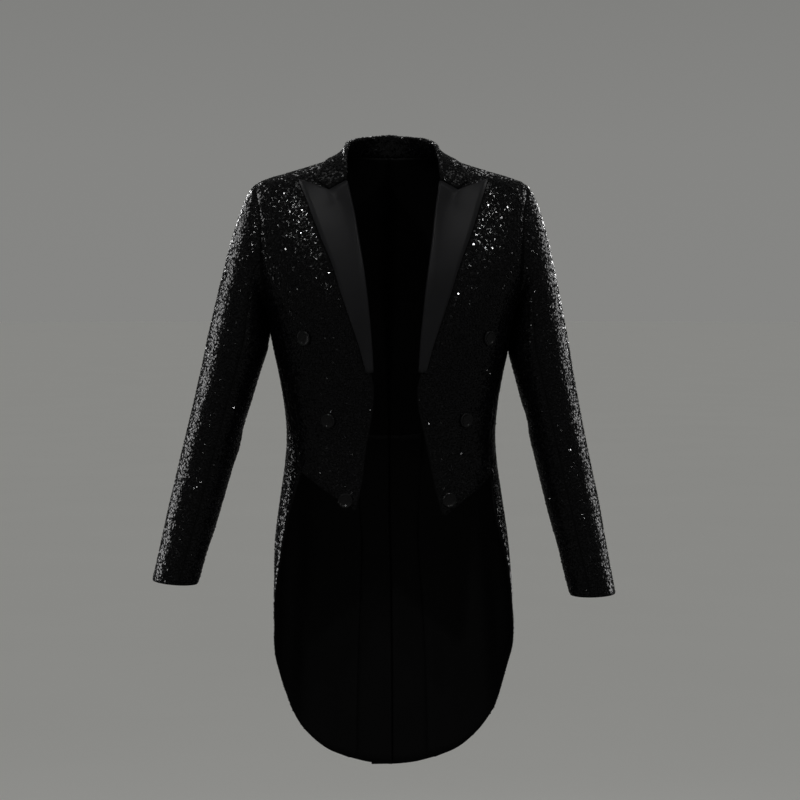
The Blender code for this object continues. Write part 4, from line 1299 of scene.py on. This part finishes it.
class TAILCOAT_OT_linings(bpy.types.Operator):
    """Make the linings of the tails and of the back's strips, set back from the hems"""

    bl_idname = "tailcoat.linings"
    bl_label = "Linings"

    def execute(self, context):
        settings = context.scene.tailcoat
        inward = settings.cloth / 2 + LINING_GAP + settings.lining / 2
        for side_name, side in SIDES:
            points, out = cloth_on_body(tail_grid(side_name), side, settings.fold_depth)
            points = sink_pleat(points, out, 1) - out * inward
            set_back(points[:, 0], points[:, 1])
            set_back(points[-1], points[-2])
            piece = lining_shell("tail_lining", side_name, side, points, out, above_pleat(points))

            points, out = cloth_on_body(back_grid()[WAIST_ROW:], side, settings.fold_depth)
            points = points - out * inward
            if side > 0:
                rows, columns = (np.arange(count) for count in points.shape[:2])
                points = raise_lap(points, out, rows, columns, settings)
            set_back(points[-1], points[-2])
            piece = lining_shell("strip_lining", side_name, side, points, out)
        return {"FINISHED"}


def armhole_ring():
    """The armhole as a ring of the panels' own points, the way on past it, and the turns."""
    stops = (0, PEAK_ON_ARMHOLE, SIDE_ON_ARMHOLE, BACK_ON_ARMHOLE, 360)
    panel_steps = (SHOULDER_ROWS, ARMHOLE_ROWS, SIDE_COLUMNS, BACK_ARMHOLE_ROWS)
    stretches = zip(stops, stops[1:], panel_steps)
    turns = np.concatenate([np.linspace(a, b, n + 1)[:-1] for a, b, n in stretches])
    places = np.concatenate([armhole(turn, turn, 0) for turn in turns])
    points = body(places)
    out = straight_out(places)
    run = np.roll(points, -1, axis=0) - np.roll(points, 1, axis=0)
    way = unit(np.cross(run, out))
    centre = points.mean(axis=0)
    way *= np.sign(((centre - points) * way).sum(axis=1))[:, None]
    return points, way, turns


def sleeve_grid(side_name, side, settings):
    """Rings of a sleeve and their outward ways, for each of its two pieces.

    The cap is a cubic from the armhole's edge, leaving sideways, to the first section.  Below it
    each ring is an ellipse square to the arm's line, carried forward as the table says, and the
    folds push it in or out.
    """
    start, end = (np.array([p.across, 0, p.height]) for p in SLEEVE_AXIS[side_name])
    axis = unit(end - start)
    outward = np.array([-axis[2], 0, axis[0]])
    ring, way, degrees = armhole_ring()
    turns = np.radians(degrees)
    cos, sin = np.cos(turns)[:, None], np.sin(turns)[:, None]
    along = np.linspace(SLEEVE[0].along, 1, SLEEVE_ROWS + 1)[:, None, None]
    half_width, half_depth, forward = (
        smooth(SLEEVE, column, along) for column in ("half_width", "half_depth", "forward")
    )
    front = np.array([0, -1.0, 0])
    centre = start + (end - start) * along + front * forward
    sections = centre + half_width * cos * outward + half_depth * sin * front
    sections[-1] += CUFF_DROP * cos * axis

    high = (cos + 1) / 2
    leave = np.array([1.0, 0, 0]) * (1 - CAP_TURN * high)
    leave = leave - np.array([0, 0, CAP_FALL]) * high**2
    leave += way * (UNDERARM_RISE + (CAP_INWARD - UNDERARM_RISE) * high)
    leave = unit(leave)
    flatness = np.linalg.norm(np.cross(way, leave), axis=1, keepdims=True)
    first = ring + way * (SEAM_GAP + settings.cloth / 2 * flatness)
    reach = UNDERARM_REACH + (CAP_REACH - UNDERARM_REACH) * high
    arrive = axis * (UNDERARM_ARRIVAL + CAP_ARRIVAL * high)
    t = np.linspace(0, 1, CAP_ROWS + 1)[:-1, None, None]
    cap = (
        (2 * t**3 - 3 * t**2 + 1) * first
        + (t**3 - 2 * t**2 + t) * leave * reach
        + (3 * t**2 - 2 * t**3) * sections[0]
        + (t**3 - t**2) * arrive
    )
    rings = np.concatenate([cap, sections])
    out = grid_normals(rings, closed=True)
    middle = rings.mean(axis=1, keepdims=True)
    if ((rings - middle) * out).sum() < 0:
        out = -out
    cap_down = SLEEVE[0].along * np.linspace(0, 1, CAP_ROWS + 1)[:-1]
    down = np.concatenate([cap_down, along[:, 0, 0]])[:, None]
    shift = SLEEVE_SHIFT[side]
    rise = folds_on(degrees[None, :] + shift.turn, down * shift.stretch, SLEEVE_FOLDS)
    rise *= np.clip(down / SLEEVE_FOLD_START, 0, 1) * settings.fold_depth
    rings = rings + out * rise[..., None]
    first, last = np.searchsorted(degrees + ANGLE_STEP[0], UNDER_SLEEVE)
    pieces = {"under_sleeve": (rings[:, first : last + 1], out[:, first : last + 1])}
    upper = len(degrees) - last + first + 1
    pieces["top_sleeve"] = tuple(np.roll(grid, -last, axis=1)[:, :upper] for grid in (rings, out))
    return pieces


class TAILCOAT_OT_sleeves(bpy.types.Operator):
    """Make the two-piece sleeves in sequinned cloth, full at the cap and open at the cuff"""

    bl_idname = "tailcoat.sleeves"
    bl_label = "Sleeves"

    def execute(self, context):
        settings = context.scene.tailcoat
        for side_name, side in SIDES:
            pieces = sleeve_grid(side_name, side, settings)
            for order, (label, (points, out)) in enumerate(sorted(pieces.items())):
                cloth = worn_side(points, side), worn_side(out, side)
                over = [denser(grid, DENSER) for grid in cloth]
                neighbours = [f"{part}_{side_name}" for part in ("front", "side_body", "back")]
                panel = SewnPanel(label, label, label, "hung", neighbours, 40 + 5 * order + side)
                sew(panel, f"_{side_name}", cloth, over, settings)
        return {"FINISHED"}


def collar_half(side_name):
    """Half a collar: at each neckline point a foot, a fold and a leaf, a quadratic curve."""
    along = np.concatenate([neckline(side_name, SHOULDER_ROWS)[::-1], back_neckline()[1:]])
    seam = body(along)
    out = straight_out(along)
    inward = unit(np.cross(out, np.gradient(seam, axis=0)))
    inward *= -np.sign((inward * seam * np.array([1, 1, 0])).sum(axis=1))[:, None]
    level = unit(inward * np.array([1, 1, 0]))
    up = np.array([0, 0, 1.0])

    v = distances_along(seam)
    v /= v[-1]
    stand = smooth(COLLAR, "height", v)[:, None]
    lean = smooth(COLLAR, "lean", v)[:, None]
    near_gorge = np.clip(1 - v / GORGE_REACH, 0, 1)[:, None] ** 2
    upright = np.broadcast_to(up, inward.shape)
    apart = SEAM_GAP + CLOTH / 2 * np.linalg.norm(np.cross(inward, upright), axis=1)[:, None]
    foot = seam + inward * apart - out * COLLAR_SINK
    fold = seam + inward * apart + level * (lean - COLLAR_FOLD) + up * stand
    fold += out * (CLOTH + LAYER_GAP) * near_gorge

    edge = np.stack([smooth(COLLAR, "edge_angle", v), smooth(COLLAR, "edge_height", v)], axis=-1)
    edge_lift = LEAF_EDGE_LIFT + (LEAF_NOTCH_LIFT - LEAF_EDGE_LIFT) * near_gorge
    leaf_edge = body(edge) + straight_out(edge) * edge_lift
    hinge = seam + out * LEAF_LIFT
    notch_x = front_edge(side_name, np.array([GORGE_HEIGHT]))[0] + NOTCH_INSET
    notch = body(place_across(notch_x, GORGE_HEIGHT - NOTCH_DROP + SEAM_GAP * 2))
    notch = notch + out[0] * LEAF_NOTCH_LIFT

    neck_side = fold + level * COLLAR_FOLD
    rows = [foot + (neck_side - foot) * t for t in np.linspace(0, 1, STAND_ROWS + 1)[:-1]]
    for turn in np.radians(np.linspace(0, 180, CROWN_ROWS + 1)):
        rows.append(fold + COLLAR_FOLD * (level * math.cos(turn) + up * math.sin(turn)))
    outer_side = rows[-1]
    for t in np.linspace(0, 1, LEAF_ROWS + 1)[1:]:
        leaf = (1 - t) ** 2 * outer_side + 2 * t * (1 - t) * hinge + t**2 * leaf_edge
        if t <= 0.5:
            straight = outer_side[0] + (notch - outer_side[0]) * 2 * t
        else:
            straight = notch + (leaf_edge[0] - notch) * (2 * t - 1)
        rows.append(leaf + (straight - leaf[0]) * near_gorge)
    return np.stack(rows, axis=1)


class TAILCOAT_OT_collar(bpy.types.Operator):
    """Make the collar in sequinned cloth, standing round the neck and lying on the shoulders"""

    bl_idname = "tailcoat.collar"
    bl_label = "Collar"

    def execute(self, context):
        settings = context.scene.tailcoat
        right = worn_side(collar_half("right"), -1)
        left = collar_half("left")
        grid = np.concatenate([right, left[-2::-1]])
        out = grid_normals(grid)
        crown = out[len(out) // 2, STAND_ROWS + CROWN_ROWS // 2]
        if crown[2] < 0:
            out = -out
        over = denser(grid, DENSER), denser(out, DENSER)
        neighbours = [f"{part}_{name}" for part in ("front", "back") for name, _ in SIDES]
        panel = SewnPanel("collar", "collar", "collar", "folded", neighbours, 50)
        sew(panel, "", (grid, out), over, settings)
        return {"FINISHED"}


class TAILCOAT_OT_buttons(bpy.types.Operator):
    """Make the front buttons: turned discs with a soft rim and a dished face"""

    bl_idname = "tailcoat.buttons"
    bl_label = "Buttons"

    def execute(self, context):
        across = np.array([turn.out for turn in BUTTON_PROFILE]) * BUTTON_RADIUS
        up = np.array([turn.up for turn in BUTTON_PROFILE]) * BUTTON_THICKNESS
        for side_name, side in SIDES:
            for number, row in enumerate(BUTTONS, 1):
                x = np.array([getattr(row, side_name)])
                place = place_across(x, np.array([row.height]))
                points, _ = cloth_on_body(place, side, context.scene.tailcoat.fold_depth)
                out = worn_side(straight_out(place), side)[0]
                point = hung(points, side)[0]
                self.make(f"{side_name}_{number}", point, out, across, up)
        return {"FINISHED"}

    def make(self, label, point, out, across, up):
        """Turn the profile round the way out: rings of points, closed by one point at each end."""
        sideways = unit(np.cross(out, (0, 0, 1.0)))
        upwards = np.cross(sideways, out)
        turn = np.linspace(0, math.tau, BUTTON_SIDES + 1)[:-1]
        rings = across[1:-1, None, None] * (
            np.cos(turn)[None, :, None] * sideways + np.sin(turn)[None, :, None] * upwards
        )
        base = point + out * (CLOTH / 2 + LAYER_GAP)
        rings = rings + base + up[1:-1, None, None] * out
        face, underside = base + up[0] * out, base + up[-1] * out
        count = len(turn)
        index = np.arange(rings.shape[0] * count).reshape(-1, count)
        following = np.roll(index, -1, axis=1)
        cells = np.stack([index[:-1], index[1:], following[1:], following[:-1]], axis=-1)
        last = index.size
        fans = [(last, a, b) for a, b in zip(index[0], following[0])]
        fans += [(last + 1, b, a) for a, b in zip(index[-1], following[-1])]
        points = np.concatenate([rings.reshape(-1, 3), [face, underside]])
        faces = [tuple(int(k) for k in cell) for cell in cells.reshape(-1, 4)]
        faces += [tuple(int(k) for k in fan) for fan in fans]
        mesh = bpy.data.meshes.new(f"button_turned_{label}")
        mesh.from_pydata(points.tolist(), [], faces)
        mesh.shade_smooth()
        rings_out = np.concatenate([np.repeat(across[1:-1], count), [0, 0]]) * LATHE_TURNS
        mesh.attributes.new("out", "FLOAT", "POINT").data.foreach_set("value", rings_out)
        mesh.materials.append(button_material())
        piece = put_in_scene(f"button_turned_{label}", mesh)
        fix_in_place(piece, f"button_{label}")


def area_light(box):
    """Set up a soft box, turned to face the point it aims at."""
    lamp = bpy.data.lights.new(box.name, "AREA")
    lamp.shape = "RECTANGLE"
    lamp.size, lamp.size_y = box.size
    lamp.energy = box.energy
    lamp.spread = math.radians(box.spread)
    light = put_in_scene(box.name, lamp)
    light.location = box.place
    toward = Vector(box.aim) - Vector(box.place)
    light.rotation_euler = toward.to_track_quat("-Z", "Y").to_euler()


class TAILCOAT_OT_stage(bpy.types.Operator):
    """Set the floor, the soft boxes, the even surroundings and the camera"""

    bl_idname = "tailcoat.stage"
    bl_label = "Stage"

    def execute(self, context):
        settings = context.scene.tailcoat_stage
        z = settings.floor_height
        turn = np.linspace(0, math.tau, FLOOR_SIDES + 1)[:-1]
        flat = np.stack([np.cos(turn), np.sin(turn)], axis=-1) * FLOOR_RADIUS
        rim = np.column_stack([flat, np.full(FLOOR_SIDES, z)])
        mesh = bpy.data.meshes.new("floor")
        mesh.from_pydata(rim.tolist(), [], [tuple(range(FLOOR_SIDES))])
        mesh.materials.append(floor_material(settings))
        floor = put_in_scene("floor", mesh)
        floor.visible_glossy = False

        for box in SOFT_BOXES:
            area_light(box)

        world = bpy.data.worlds.new("Even grey surroundings")
        world.use_nodes = True
        tree = world.node_tree
        background = tree.nodes["Background"]
        way = add_node(tree, "ShaderNodeTexCoord")
        parts = add_node(tree, "ShaderNodeSeparateXYZ", [("Vector", way.outputs["Generated"])])
        links = [("Value", parts.outputs["Z"])]
        rise = add_node(
            tree, "ShaderNodeMapRange", links, From_Min=WALL_FOOT, From_Max=WALL_HEAD
        )
        wall = add_node(tree, "ShaderNodeValToRGB", [("Fac", rise.outputs["Result"])])
        steps = wall.color_ramp.elements
        for grey in WALL[1:-1]:
            steps.new(grey.place)
        for step, grey in zip(steps, WALL):
            step.color = (*from_hex(grey.colour), 1)
        path = add_node(tree, "ShaderNodeLightPath")
        dim = between(tree, path.outputs["Is Glossy Ray"], 1.0, WALL_IN_GLOSS)
        plug_in(tree, background, Color=wall.outputs["Color"], Strength=dim)
        context.scene.world = world
        context.scene.view_settings.view_transform = "Standard"

        camera = bpy.data.cameras.new("camera")
        camera.lens = settings.lens
        camera.sensor_width = 36
        camera.clip_end = 200
        seen_from = put_in_scene("camera", camera)
        level, high = math.cos(settings.elevation), math.sin(settings.elevation)
        round_x, round_y = math.sin(settings.azimuth), -math.cos(settings.azimuth)
        way = Vector((round_x * level, round_y * level, high))
        seen_from.location = Vector(settings.target) + way * settings.distance
        seen_from.rotation_euler = (-way).to_track_quat("-Z", "Y").to_euler()
        context.scene.camera = seen_from
        return {"FINISHED"}


OPERATORS = (
    TAILCOAT_OT_fronts,
    TAILCOAT_OT_lapels,
    TAILCOAT_OT_side_bodies,
    TAILCOAT_OT_backs,
    TAILCOAT_OT_skirts,
    TAILCOAT_OT_linings,
    TAILCOAT_OT_sleeves,
    TAILCOAT_OT_collar,
    TAILCOAT_OT_buttons,
    TAILCOAT_OT_stage,
)


class TAILCOAT_PT_panel(bpy.types.Panel):
    """Lists the settings and the pieces in the sidebar"""

    bl_idname = "TAILCOAT_PT_panel"
    bl_label = "White tie tailcoat"
    bl_space_type = "VIEW_3D"
    bl_region_type = "UI"
    bl_category = "Tailcoat"

    def draw(self, context):
        for group in (context.scene.tailcoat, context.scene.tailcoat_stage):
            for name in group.__annotations__:
                self.layout.prop(group, name)
        for operator in OPERATORS:
            self.layout.operator(operator.bl_idname)


CLASSES = (TailcoatSettings, StageSettings, *OPERATORS, TAILCOAT_PT_panel)


def register():
    """Make the pieces' operators, the sidebar's panel and the settings known."""
    for each in CLASSES:
        bpy.utils.register_class(each)
    bpy.types.Scene.tailcoat = bpy.props.PointerProperty(type=TailcoatSettings)
    bpy.types.Scene.tailcoat_stage = bpy.props.PointerProperty(type=StageSettings)


def unregister():
    """Take them away again, in the other order."""
    del bpy.types.Scene.tailcoat_stage
    del bpy.types.Scene.tailcoat
    for each in reversed(CLASSES):
        bpy.utils.unregister_class(each)


def main():
    """Build every piece and the stage."""
    register()
    bpy.ops.tailcoat.fronts()
    bpy.ops.tailcoat.lapels()
    bpy.ops.tailcoat.side_bodies()
    bpy.ops.tailcoat.backs()
    bpy.ops.tailcoat.skirts()
    bpy.ops.tailcoat.linings()
    bpy.ops.tailcoat.sleeves()
    bpy.ops.tailcoat.collar()
    bpy.ops.tailcoat.buttons()
    bpy.ops.tailcoat.stage()
    bpy.context.view_layer.update()


if __name__ == "__main__":
    main()
